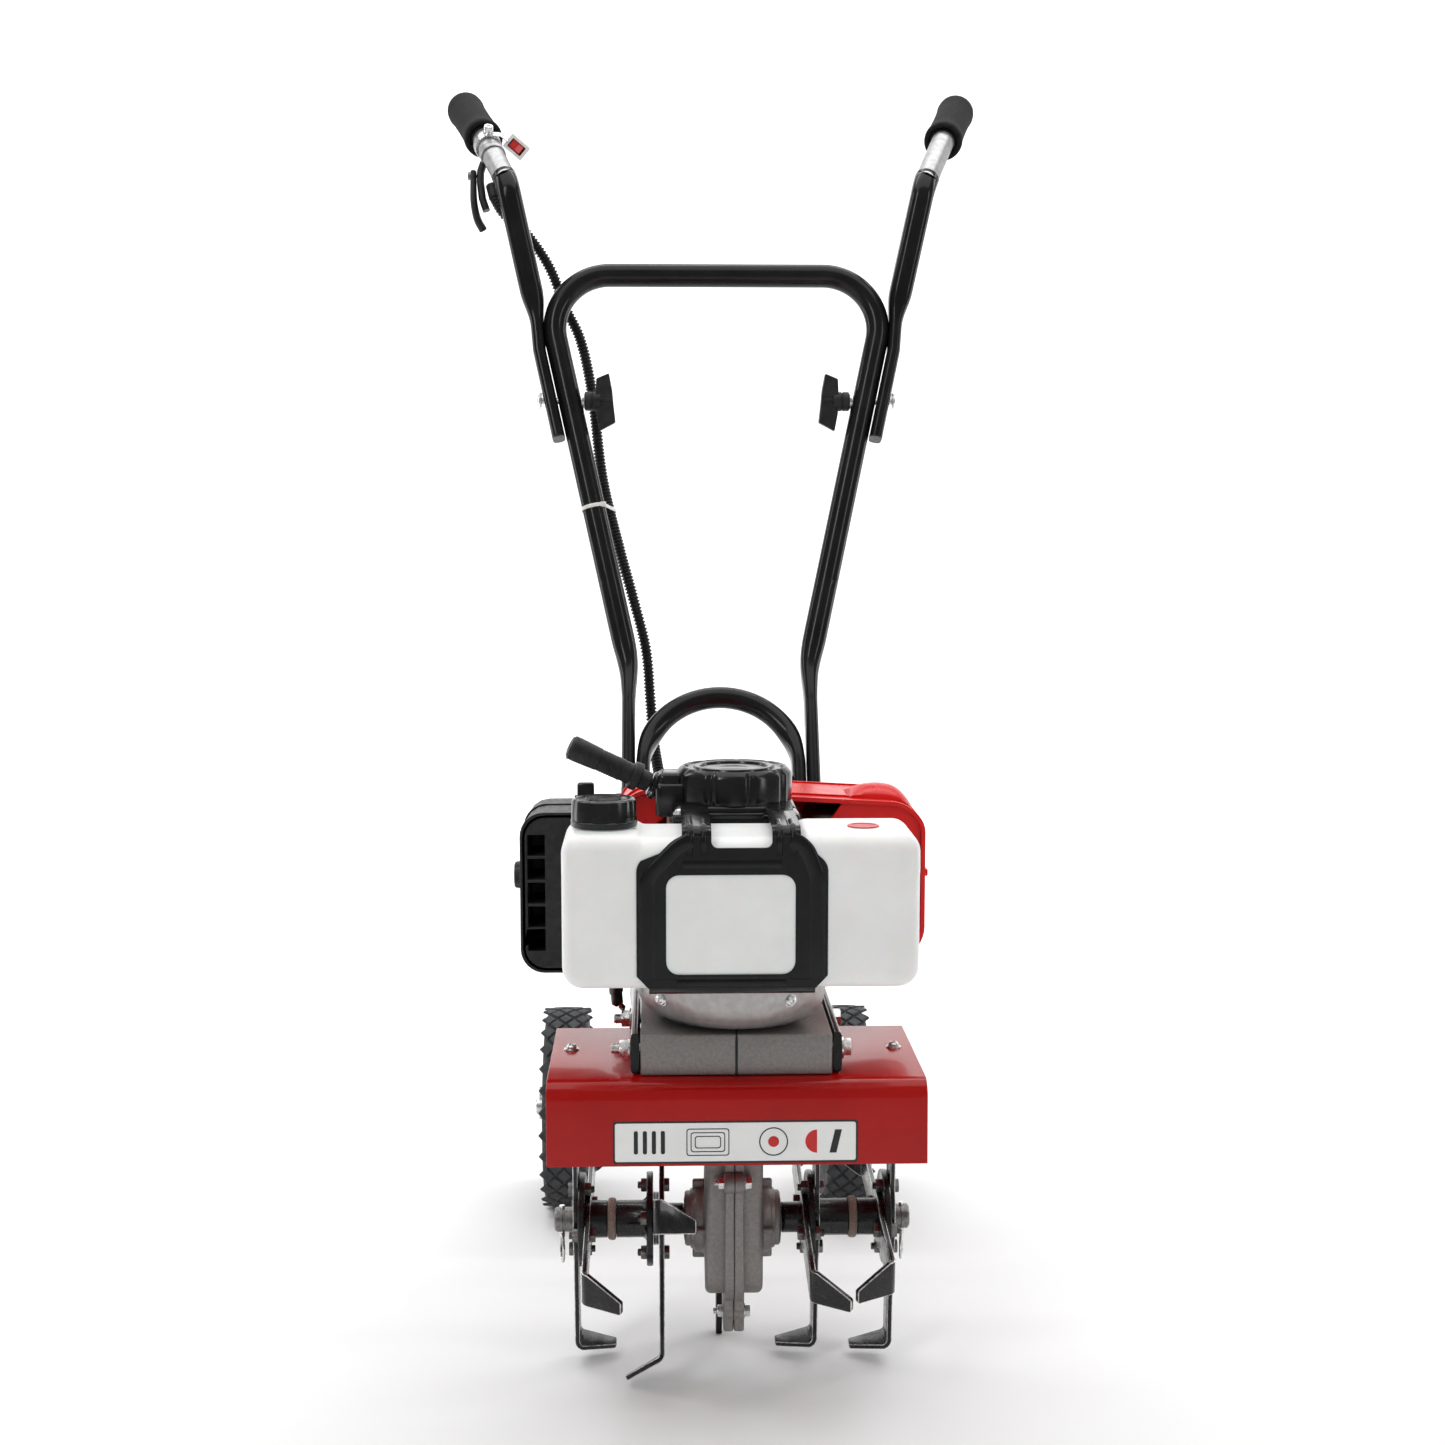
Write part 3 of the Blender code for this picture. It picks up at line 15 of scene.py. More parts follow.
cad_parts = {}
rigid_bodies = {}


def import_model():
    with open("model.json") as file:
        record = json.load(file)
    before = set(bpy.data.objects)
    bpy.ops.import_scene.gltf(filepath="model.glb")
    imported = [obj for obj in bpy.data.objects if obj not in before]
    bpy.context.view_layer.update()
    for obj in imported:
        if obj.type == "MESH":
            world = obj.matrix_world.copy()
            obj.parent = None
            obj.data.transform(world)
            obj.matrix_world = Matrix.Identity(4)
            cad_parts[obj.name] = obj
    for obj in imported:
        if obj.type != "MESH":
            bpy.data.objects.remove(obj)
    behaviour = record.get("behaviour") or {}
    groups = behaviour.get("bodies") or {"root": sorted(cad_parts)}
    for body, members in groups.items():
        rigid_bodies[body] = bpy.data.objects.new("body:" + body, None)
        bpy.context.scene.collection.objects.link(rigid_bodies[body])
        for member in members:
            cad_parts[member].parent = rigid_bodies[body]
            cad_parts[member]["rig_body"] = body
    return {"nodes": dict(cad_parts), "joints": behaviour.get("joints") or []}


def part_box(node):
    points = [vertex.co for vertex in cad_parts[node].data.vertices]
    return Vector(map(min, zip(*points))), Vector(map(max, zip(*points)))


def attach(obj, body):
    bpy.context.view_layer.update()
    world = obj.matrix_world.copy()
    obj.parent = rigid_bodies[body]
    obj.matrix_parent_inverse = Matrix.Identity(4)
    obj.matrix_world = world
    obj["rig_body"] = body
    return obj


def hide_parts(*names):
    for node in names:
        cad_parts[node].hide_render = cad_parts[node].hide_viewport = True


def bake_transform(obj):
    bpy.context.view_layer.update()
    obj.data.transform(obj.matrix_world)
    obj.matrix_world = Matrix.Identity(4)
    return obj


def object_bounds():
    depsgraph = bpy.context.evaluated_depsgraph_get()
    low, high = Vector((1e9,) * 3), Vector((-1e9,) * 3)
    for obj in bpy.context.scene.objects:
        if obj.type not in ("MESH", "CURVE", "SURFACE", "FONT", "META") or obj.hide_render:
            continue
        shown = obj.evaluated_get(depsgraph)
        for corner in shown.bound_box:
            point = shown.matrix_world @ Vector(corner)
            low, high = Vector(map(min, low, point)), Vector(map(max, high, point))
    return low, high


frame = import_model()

CAD_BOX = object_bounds()
JOINTS = {joint["name"]: joint for joint in frame["joints"]}
TINE_HEIGHT = 0.117
TINE_AXIS = Vector((0, 0, TINE_HEIGHT))
HOME = Vector(JOINTS["tine_spin"]["pos_m"]) - TINE_AXIS

SIDE_VIEW = Matrix(((0, 0, 1), (1, 0, 0), (0, 1, 0))).to_4x4()  # outline (y, z), thick along X
FRONT_VIEW = Matrix(((1, 0, 0), (0, 0, -1), (0, 1, 0))).to_4x4()  # outline (x, z), thick along Y
TOP_VIEW = Matrix.Identity(4)  # outline (x, y), thick along Z

TUBE_R = 0.011
ARCH_R = 0.010
ARCH_X = 0.0705
SHAFT_R = 0.0095
SHAFT_HALF = 0.138
WORM_Y = -0.028
BLOCK_BOLT_Y = (-0.070, 0.017)
BLOCK_BOLT_Z = 0.272
BLOCK_REAR_Y = 0.036
BLOCK_FOOT_Z = 0.2565
STAKE_X = -0.0086
STAKE_Y = 0.0640
LEG_Y = 0.190
LEG_SLOPE = 0.608  # how far the lower frame leans back, for each metre up
HOOP_X = 0.0838
HOOP_BEND_Z = 0.5226
HOOP_TOP = (0.166, 0.430, 0.888)
BEND_1 = (0.1715, 0.424, 0.853)
BEND_2 = (0.1975, 0.425, 0.973)
COLLAR = Vector((0.2250, 0.500, 1.026))
GRIP_END = Vector((0.2536, 0.610, 1.0755))
ELBOW = COLLAR - (GRIP_END - COLLAR).normalized() * 0.008
LEVER_PIVOT = Vector(JOINTS["throttle_squeeze"]["pos_m"]) - HOME
STARTER_PULL = Vector(JOINTS["starter_pull"]["axis"])
STARTER_ROOT = Vector((-0.0625, -0.030, 0.4640))
CAMERA_PLACE = (-0.0547, -1.510, 0.668)
CAMERA_DOWN = 6.13  # degrees
CAMERA_RIGHT = 1.79  # degrees
SIDES = (("left", -1), ("right", 1))


# ---------------------------------------------------------------- materials
def surface(name, dark, light, patch, rough, metallic=0.0, grain=(0.0005, 0.00002), stretch=(1, 1, 1),
            pits=None, **fixed):
    """A finish whose colour wanders between dark and light over patches of the given size, whose
    roughness wanders between two values, and whose skin has a grain of (size, depth)."""
    finish = bpy.data.materials.new(name)
    finish.use_nodes = True
    tree = finish.node_tree
    link = tree.links.new
    shader = tree.nodes["Principled BSDF"]

    def dial(node, **values):
        for label, value in values.items():
            node.inputs[label.replace("_", " ")].default_value = value
        return node

    def made(kind, **values):
        return dial(tree.nodes.new("ShaderNode" + kind), **values)

    def clouds(size, detail):
        texture = made("TexNoise", Scale=1 / size, Detail=detail)
        link(mapping.outputs["Vector"], texture.inputs["Vector"])
        return texture.outputs["Fac"]

    dial(shader, Metallic=metallic, **fixed)
    mapping = made("Mapping", Scale=stretch)
    link(made("TexCoord").outputs["Object"], mapping.inputs["Vector"])
    ramp = made("ValToRGB")
    for stop, position, colour in zip(ramp.color_ramp.elements, (0.32, 0.68), (dark, light)):
        stop.position = position
        stop.color = (*colour, 1)
    link(clouds(patch, 5.0), ramp.inputs["Fac"])
    link(ramp.outputs["Color"], shader.inputs["Base Color"])
    spread = made("MapRange", From_Min=0.3, From_Max=0.7, To_Min=rough[0], To_Max=rough[1])
    link(clouds(patch * 0.6, 3.0), spread.inputs["Value"])
    link(spread.outputs["Result"], shader.inputs["Roughness"])
    skin = made("Bump", Strength=1.0, Distance=grain[1])
    link(clouds(grain[0], 2.0), skin.inputs["Height"])
    if pits:
        spots = made("TexVoronoi", Scale=1 / pits[0])
        link(mapping.outputs["Vector"], spots.inputs["Vector"])
        pitted = made("Bump", Distance=pits[1])
        link(spots.outputs["Distance"], pitted.inputs["Height"])
        link(skin.outputs["Normal"], pitted.inputs["Normal"])
        skin = pitted
    link(skin.outputs["Normal"], shader.inputs["Normal"])
    return finish


GLOSS_BLACK = surface("gloss_black_paint", (0.006, 0.006, 0.0065), (0.011, 0.011, 0.012), 0.03,
                      (0.16, 0.26), grain=(0.0012, 0.000012), Coat_Weight=0.12, Coat_Roughness=0.08,
                      Specular_IOR_Level=0.18)
BAR_BLACK = surface("tine_black_paint", (0.007, 0.007, 0.0075), (0.016, 0.016, 0.017), 0.012,
                    (0.18, 0.34), grain=(0.0009, 0.00002), Coat_Weight=0.15, Specular_IOR_Level=0.3)
# Bright metal for the tine bars' bevelled edges: a painted highlight, since the bars' edges are black
# paint like their faces.
PAINTED_EDGE_HIGHLIGHT = surface("painted_edge_highlight_steel", (0.38, 0.38, 0.38), (0.74, 0.74, 0.73), 0.004, (0.2, 0.42), 1.0,
                   grain=(0.0004, 0.00004))
CAST = surface("sand_cast_alloy", (0.235, 0.220, 0.210), (0.290, 0.273, 0.262), 0.0022, (0.44, 0.58),
               0.6, grain=(0.0007, 0.00006), pits=(0.0012, 0.00003))
FAN_CAST = surface("fan_housing_alloy", (0.38, 0.365, 0.355), (0.47, 0.455, 0.445), 0.006, (0.36, 0.50),
                   0.75, grain=(0.0006, 0.00004), pits=(0.0016, 0.00002))
RED_PAINT = surface("red_enamel", (0.37, 0.004, 0.003), (0.42, 0.006, 0.0045), 0.05, (0.16, 0.24),
                    grain=(0.0014, 0.000014), Coat_Weight=0.3, Coat_Roughness=0.06,
                    Specular_IOR_Level=0.15)
RED_PLASTIC = surface("red_plastic", (0.62, 0.007, 0.006), (0.70, 0.010, 0.009), 0.02, (0.26, 0.36),
                      grain=(0.0008, 0.00002), Specular_IOR_Level=0.3)
GLOSS_PLASTIC = surface("gloss_black_plastic", (0.006, 0.006, 0.0065), (0.011, 0.011, 0.012), 0.015,
                        (0.14, 0.24), grain=(0.0015, 0.00002), Specular_IOR_Level=0.4)
MATT_PLASTIC = surface("black_plastic", (0.011, 0.011, 0.012), (0.022, 0.022, 0.023), 0.006,
                       (0.36, 0.52), grain=(0.0004, 0.00003), Specular_IOR_Level=0.3)
FOAM = surface("grip_foam", (0.010, 0.010, 0.0105), (0.019, 0.019, 0.0195), 0.0025, (0.78, 0.92),
               grain=(0.0005, 0.00012), Specular_IOR_Level=0.2)
TYRE = surface("tyre_rubber", (0.021, 0.022, 0.024), (0.038, 0.040, 0.043), 0.008, (0.62, 0.82),
               grain=(0.0006, 0.00006))
TANK = surface("translucent_tank", (0.84, 0.84, 0.825), (0.89, 0.89, 0.88), 0.03, (0.32, 0.42),
               grain=(0.0010, 0.00003), Subsurface_Weight=0.25, Subsurface_Scale=0.008)
ZINC = surface("zinc_plate", (0.56, 0.57, 0.56), (0.78, 0.78, 0.77), 0.004, (0.20, 0.36), 1.0,
               grain=(0.0004, 0.00002))
DARK_ZINC = surface("dark_zinc", (0.10, 0.10, 0.10), (0.24, 0.24, 0.23), 0.004, (0.28, 0.45), 1.0,
                    grain=(0.0004, 0.00003))
BARE_TUBE = surface("galvanised_tube", (0.34, 0.34, 0.345), (0.46, 0.46, 0.465), 0.006, (0.34, 0.48),
                    0.85, grain=(0.0003, 0.00003))
TURNED = surface("turned_steel", (0.15, 0.148, 0.143), (0.27, 0.265, 0.26), 0.003, (0.26, 0.44), 1.0,
                 grain=(0.0004, 0.00006), stretch=(3, 1, 1))
FELT = surface("felt", (0.20, 0.135, 0.105), (0.34, 0.25, 0.21), 0.0016, (0.9, 1.0),
               grain=(0.0004, 0.0004), Sheen_Weight=0.4)
DARK_STEEL = surface("heated_steel", (0.05, 0.047, 0.044), (0.13, 0.12, 0.11), 0.012, (0.4, 0.6), 0.9,
                     grain=(0.0006, 0.00005))
BRASS = surface("brass", (0.50, 0.36, 0.15), (0.66, 0.49, 0.23), 0.006, (0.24, 0.4), 1.0)
LABEL_WHITE = surface("label_white", (0.86, 0.86, 0.85), (0.91, 0.91, 0.90), 0.02, (0.3, 0.4))
LABEL_BLACK = surface("label_black", (0.007, 0.007, 0.008), (0.012, 0.012, 0.013), 0.01, (0.3, 0.4))
LABEL_RED = surface("label_red", (0.52, 0.012, 0.010), (0.62, 0.018, 0.014), 0.01, (0.3, 0.4))
NYLON = surface("white_nylon", (0.74, 0.74, 0.72), (0.84, 0.84, 0.82), 0.004, (0.3, 0.45),
                Subsurface_Weight=0.2, Subsurface_Scale=0.003)
WIRE_BLACK = surface("black_wire", (0.008, 0.008, 0.008), (0.018, 0.018, 0.018), 0.004, (0.4, 0.6))
WIRE_RED = surface("red_wire", (0.40, 0.010, 0.008), (0.52, 0.02, 0.015), 0.004, (0.4, 0.6))
ROPE = surface("starter_rope", (0.02, 0.02, 0.02), (0.16, 0.16, 0.15), 0.0012, (0.8, 0.95),
               grain=(0.0006, 0.0003))


# ---------------------------------------------------------------- mesh tools
def placed(name, data):
    """A new object of the scene with the given data."""
    thing = bpy.data.objects.new(name, data)
    bpy.context.scene.collection.objects.link(thing)
    return thing


def put(name, bm, finish, body, *nodes, sharp=35.0, bevel=0.0, segments=2, more=()):
    """Make a piece of a bmesh in design coordinates, let it ride on a body and stand for nodes."""
    bmesh.ops.recalc_face_normals(bm, faces=bm.faces)
    mesh = bpy.data.meshes.new(name)
    bm.to_mesh(mesh)
    bm.free()
    mesh.transform(Matrix.Translation(HOME))
    for one in (finish, *more):
        mesh.materials.append(one)
    mesh.shade_smooth()
    mesh.set_sharp_from_angle(angle=math.radians(sharp))
    piece = placed(name, mesh)
    if bevel:
        rounding = piece.modifiers.new("rounding", "BEVEL")
        rounding.width = bevel
        rounding.segments = segments
        rounding.limit_method = "ANGLE"
        rounding.angle_limit = math.radians(sharp)
        rounding.harden_normals = True
    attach(piece, body)
    if nodes:
        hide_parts(*nodes)
    return piece


def thicken(piece, thickness):
    """Give a sheet its thickness, half of it to each side."""
    solid = piece.modifiers.new("thickness", "SOLIDIFY")
    solid.thickness = thickness
    solid.offset = 0.0
    return solid


def span(node):
    """A CAD node's lowest and highest corner in design coordinates."""
    low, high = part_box(node)
    return low - HOME, high - HOME


def refine(node, finish, bevel=0.0006, segments=2, sharp=30.0):
    """A CAD solid again, with its edges rounded and its round faces shaded smooth."""
    bm = bmesh.new()
    bm.from_mesh(frame["nodes"][node].data)
    bmesh.ops.remove_doubles(bm, verts=bm.verts, dist=0.000005)
    bmesh.ops.dissolve_limit(bm, angle_limit=math.radians(0.8), verts=bm.verts, edges=bm.edges)
    bmesh.ops.translate(bm, vec=-HOME, verts=bm.verts)
    body = frame["nodes"][node]["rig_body"]
    return put(node + "_finished", bm, finish, body, node, sharp=sharp, bevel=bevel,
               segments=segments)


def loft(bm, rings, capped=True):
    """Faces between closed rings of points, and over the two ends."""
    made = [[bm.verts.new(point) for point in ring] for ring in rings]
    count = len(made[0])
    for low, high in zip(made, made[1:]):
        for k in range(count):
            bm.faces.new((low[k], low[(k + 1) % count], high[(k + 1) % count], high[k]))
    if capped:
        for ring in (made[0], made[-1]):
            bm.faces.new(ring)


def ribbon(bm, rows, low_x, high_x):
    """A sheet across X through the points (y, z) of rows."""
    strip = [[bm.verts.new((x, y, z)) for x in (low_x, high_x)] for y, z in rows]
    for (a, b), (c, d) in zip(strip, strip[1:]):
        bm.faces.new((a, b, d, c))


def frame_of(axis):
    """Two directions square to an axis and to each other."""
    axis = Vector(axis).normalized()
    first = axis.orthogonal().normalized()
    return first, axis.cross(first)


def ring_about(centre, axis, steps, reach):
    """Points round a centre, square to an axis; reach(angle) is how far out each one lies."""
    first, second = frame_of(axis)
    turns = [math.tau * k / steps for k in range(steps)]
    return [centre + first * reach(turn) * math.cos(turn) + second * reach(turn) * math.sin(turn)
            for turn in turns]


def lathe(bm, profile, origin, axis, steps=48, lobes=None):
    """A turned shape: profile is (height, radius) along the axis; lobes(angle) scales the radius.
    A profile whose ends have no radius closes to a point there."""
    origin, axis = Vector(origin), Vector(axis).normalized()

    def reach_of(radius):
        least = max(radius, 0.00002)
        return lambda angle: least * (lobes(angle) if lobes else 1.0)

    loft(bm, [ring_about(origin + axis * height, axis, steps, reach_of(radius))
              for height, radius in profile])


def ring_lathe(bm, profile, origin, axis, steps=48):
    """A turned ring: the profile is a closed loop of (height, radius)."""
    origin, axis = Vector(origin), Vector(axis).normalized()
    first, second = frame_of(axis)
    rings = []
    for k in range(steps):
        angle = math.tau * k / steps
        way = first * math.cos(angle) + second * math.sin(angle)
        rings.append([origin + axis * height + way * radius for height, radius in profile])
    rings.append(rings[0])
    loft(bm, rings, capped=False)
    bmesh.ops.remove_doubles(bm, verts=bm.verts, dist=0.000001)


def both_ways(profile):
    """A profile's first half, and the same mirrored about height 0."""
    return profile + [(-height, radius) for height, radius in reversed(profile)]


def sweep(bm, path, size_at, sides=28, first_side=(1, 0, 0), reach_at=None):
    """A tube along a path; size_at(point) is the half width along the carried side direction, the
    half width across it and how square the oval is. reach_at shifts the last ring's points."""
    side = Vector(first_side)
    rings = []
    for i, point in enumerate(path):
        before = path[max(i - 1, 0)]
        after = path[min(i + 1, len(path) - 1)]
        along = ((after - point).normalized() + (point - before).normalized()).normalized()
        side = (side - along * side.dot(along)).normalized()
        across = along.cross(side)
        half_a, half_b, square = size_at(point)
        ring = []
        for k in range(sides):
            angle = math.tau * k / sides
            c, s = math.cos(angle), math.sin(angle)
            a = half_a * math.copysign(abs(c) ** (2 / square), c)
            b = half_b * math.copysign(abs(s) ** (2 / square), s)
            place = point + side * a + across * b
            if reach_at and i == len(path) - 1:
                place += along * reach_at(side * a + across * b)
            ring.append(place)
        rings.append(ring)
    loft(bm, rings)


def tube(bm, path, radius, sides=16):
    """A round tube or wire."""
    path = [Vector(p) for p in path]
    sweep(bm, path, lambda point: (radius, radius, 2.0), sides, frame_of(path[1] - path[0])[0])


def rounded(points, radii, step=5.0):
    """A path with round corners; radii has one radius for each inner corner."""
    points = [Vector(p) for p in points]
    path = [points[0]]
    for before, corner, after, radius in zip(points, points[1:], points[2:], radii):
        back = (before - corner).normalized()
        ahead = (after - corner).normalized()
        turn = math.pi - back.angle(ahead)
        reach = radius * math.tan(turn / 2)
        centre = corner + (back + ahead).normalized() * radius / math.cos(turn / 2)
        first = corner + back * reach - centre
        axis = back.cross(ahead).normalized()
        count = max(1, math.ceil(math.degrees(turn) / step))
        for i in range(count + 1):
            path.append(centre + Matrix.Rotation(-turn * i / count, 3, axis) @ first)
    path.append(points[-1])
    return path


def even(path, step):
    """The same path with points at least every step along its straight runs."""
    path = [Vector(p) for p in path]
    filled = [path[0]]
    for before, after in zip(path, path[1:]):
        pieces = max(1, math.ceil((after - before).length / step))
        filled += [before.lerp(after, i / pieces) for i in range(1, pieces + 1)]
    return filled


def smooth_line(points, count):
    """Evenly numbered points on a Catmull-Rom curve through the given ones."""
    points = [Vector(p) for p in points]
    ends = [2 * points[0] - points[1], *points, 2 * points[-1] - points[-2]]
    line = []
    for i in range(count):
        place = i / (count - 1) * (len(points) - 1)
        k = min(int(place), len(points) - 2)
        t = place - k
        p0, p1, p2, p3 = ends[k:k + 4]
        line.append(0.5 * (2 * p1 + (p2 - p0) * t + (2 * p0 - 5 * p1 + 4 * p2 - p3) * t * t
                           + (3 * p1 - 3 * p2 + p3 - p0) * t ** 3))
    return line


def spaced(line, step):
    """Points of a fine line that lie a step apart along it."""
    kept, gone = [line[0]], 0.0
    for before, after in zip(line, line[1:]):
        length = (after - before).length
        while gone + length >= step:
            share = (step - gone) / length
            before = before.lerp(after, share)
            length = (after - before).length
            gone = 0.0
            kept.append(before)
        gone += length
    return kept


def arc(centre, radius, first, last, count=6):
    """Points (a, b) of an arc between two angles in degrees."""
    return [(centre[0] + radius * math.cos(math.radians(first + (last - first) * i / count)),
             centre[1] + radius * math.sin(math.radians(first + (last - first) * i / count)))
            for i in range(count + 1)]


def rounded_rectangle(low, high, radius, count=6):
    """The outline of a rectangle with round corners."""
    (a, b), (c, d) = low, high
    return (arc((c - radius, d - radius), radius, 0, 90, count)
            + arc((a + radius, d - radius), radius, 90, 180, count)
            + arc((a + radius, b + radius), radius, 180, 270, count)
            + arc((c - radius, b + radius), radius, 270, 360, count))


def plate(bm, outlines, thickness, view, middle):
    """A flat piece from closed outlines (the later ones are holes), drawn by a filled curve."""
    curve = bpy.data.curves.new("outline", "CURVE")
    curve.dimensions = "2D"
    curve.fill_mode = "BOTH"
    curve.extrude = thickness / 2
    for outline in outlines:
        spline = curve.splines.new("POLY")
        spline.points.add(len(outline) - 1)
        for point, (a, b) in zip(spline.points, outline):
            point.co = (a, b, 0.0, 1.0)
        spline.use_cyclic_u = True
    drawn = placed("outline", curve)
    bpy.context.view_layer.update()
    mesh = bpy.data.meshes.new_from_object(
        drawn.evaluated_get(bpy.context.evaluated_depsgraph_get()))
    bpy.data.objects.remove(drawn)
    bpy.data.curves.remove(curve)
    shift = view.to_3x3() @ Vector((0, 0, middle))
    mesh.transform(Matrix.Translation(shift) @ view)
    fresh = bmesh.new()
    fresh.from_mesh(mesh)
    bpy.data.meshes.remove(mesh)
    bmesh.ops.remove_doubles(fresh, verts=fresh.verts, dist=0.000005)
    bmesh.ops.dissolve_limit(fresh, angle_limit=0.01, verts=fresh.verts, edges=fresh.edges)
    merge(bm, fresh)


def merge(bm, other):
    """Add another bmesh's shape to this one."""
    keep = bpy.data.meshes.new("merge")
    other.to_mesh(keep)
    other.free()
    bm.from_mesh(keep)
    bpy.data.meshes.remove(keep)


def block(bm, low, high, radius=0.0, segments=3, place=Matrix.Identity(4)):
    """A box, its edges rounded, moved by a matrix."""
    low, high = Vector(low), Vector(high)
    fresh = bmesh.new()
    bmesh.ops.create_cube(fresh, size=1.0)
    bmesh.ops.scale(fresh, vec=high - low, verts=fresh.verts)
    bmesh.ops.translate(fresh, vec=(low + high) / 2, verts=fresh.verts)
    if radius:
        bmesh.ops.bevel(fresh, geom=list(fresh.edges), offset=radius, segments=segments,
                        profile=0.5, affect="EDGES")
    bmesh.ops.transform(fresh, matrix=place, verts=fresh.verts)
    merge(bm, fresh)


def hexagon(bm, origin, axis, across, height):
    """A bolt head or nut with chamfered corners and a dished end."""
    origin, axis = Vector(origin), Vector(axis).normalized()
    radius = across / 2 / math.cos(math.pi / 6)

    def flat(angle):
        nearest = (angle % (math.pi / 3)) - math.pi / 6
        return radius * (math.cos(math.pi / 6) / math.cos(nearest))

    steps = ((0.0, flat), (0.78, flat), (1.0, lambda angle: min(radius * 0.90, flat(angle))),
             (1.0, lambda angle: radius * 0.62), (0.93, lambda angle: radius * 0.50))
    loft(bm, [ring_about(origin + axis * height * share, axis, 36, reach) for share, reach in steps])


def thread(bm, origin, axis, radius, length):
    """A threaded end, as rings of ridges."""
    pitch = 0.00125
    profile = [(0.0, radius)]
    turns = max(2, int(length / pitch))
    for i in range(turns):
        h = length * i / turns
        profile += [(h + pitch * 0.2, radius), (h + pitch * 0.5, radius * 0.86),
                    (h + pitch * 0.8, radius)]
    profile += [(length + 0.0004, radius * 0.8)]
    lathe(bm, profile, origin, axis, 20)


def screw(bm, origin, axis, radius, height):
    """A domed screw head with a cross recess, on a washer."""
    axis = Vector(axis).normalized()
    lathe(bm, [(-0.0004, radius * 1.25), (0.0004, radius * 1.25), (0.0006, radius),
               (height * 0.55, radius), (height * 0.9, radius * 0.75), (height, radius * 0.42),
               (height * 0.62, radius * 0.26), (height * 0.6, 0.0)], origin, axis, 28)


def blend(value, first, last):
    """0 before first, 1 after last, and a smooth rise between them."""
    share = min(1.0, max(0.0, (value - first) / (last - first)))
    return share * share * (3 - 2 * share)


def mix(a, b, share):
    """Numbers a share of the way from one tuple to another."""
    return tuple(p + (q - p) * share for p, q in zip(a, b))


def mirrored(point, side):
    """A point of the right side, or its mirror on the left for side -1."""
    return Vector((side * point[0], point[1], point[2]))


def off_axis(direction, axis):
    """The unit vector of a direction's part that is square to an axis."""
    return (direction - axis * direction.dot(axis)).normalized()


def ordered(x0, x1, y0, y1, z0, z1):
    """Low and high corners of a box."""
    return ((min(x0, x1), min(y0, y1), min(z0, z1)), (max(x0, x1), max(y0, y1), max(z0, z1)))


def leg_y(z):
    """Where the sloping part of the lower frame is at height z."""
    return LEG_Y + (z - BLOCK_BOLT_Z) * LEG_SLOPE


def hoop_leg(z):
    """Centre of the right upper leg of the hoop at height z."""
    share = (z - HOOP_BEND_Z) / (HOOP_TOP[2] - HOOP_BEND_Z)
    return Vector((HOOP_X + (HOOP_TOP[0] - HOOP_X) * share,
                   leg_y(HOOP_BEND_Z) + (HOOP_TOP[1] - leg_y(HOOP_BEND_Z)) * share, z))


# ---------------------------------------------------------------- tines
# Name and flange's middle, then for each bar: its middle, the angle of one end from straight down
# towards the front, the way its leaf points, and the leaf's outward slope.
ROTORS = (
    ("left_outer", -0.1165, (-0.1213, -8.6, 1, 17), (-0.1117, 81.4, 1, 28)),
    ("left_inner", -0.0641, (-0.0549, 20.5, -1, 29), (-0.0593, 110.5, 1, 17)),
    ("right_inner", 0.0603, (0.0651, -8.6, -1, 17), (0.0555, 81.4, 1, 28)),
    ("right_outer", 0.1188, (0.1236, -6.0, -1, 17), (0.1140, 85.0, -1, 28)),
)
HUB_END = {"outer": 0.097, "inner": 0.090}
HUB_R = 0.01425
FLANGE_R = 0.036
FLANGE_T = 0.005
BAR_T = 0.004
BEND_R = 0.106
LEAF_BEND = 0.006
LEAF = 0.031
TINE_BOLT_R = 0.0255
TINE_NUT = 0.0045


def bar_direction(angle):
    """Outward and forward directions of a bar's end, angle in degrees from straight down."""
    phi = math.radians(angle)
    return Vector((0, -math.sin(phi), -math.cos(phi))), Vector((0, -math.cos(phi), math.sin(phi)))


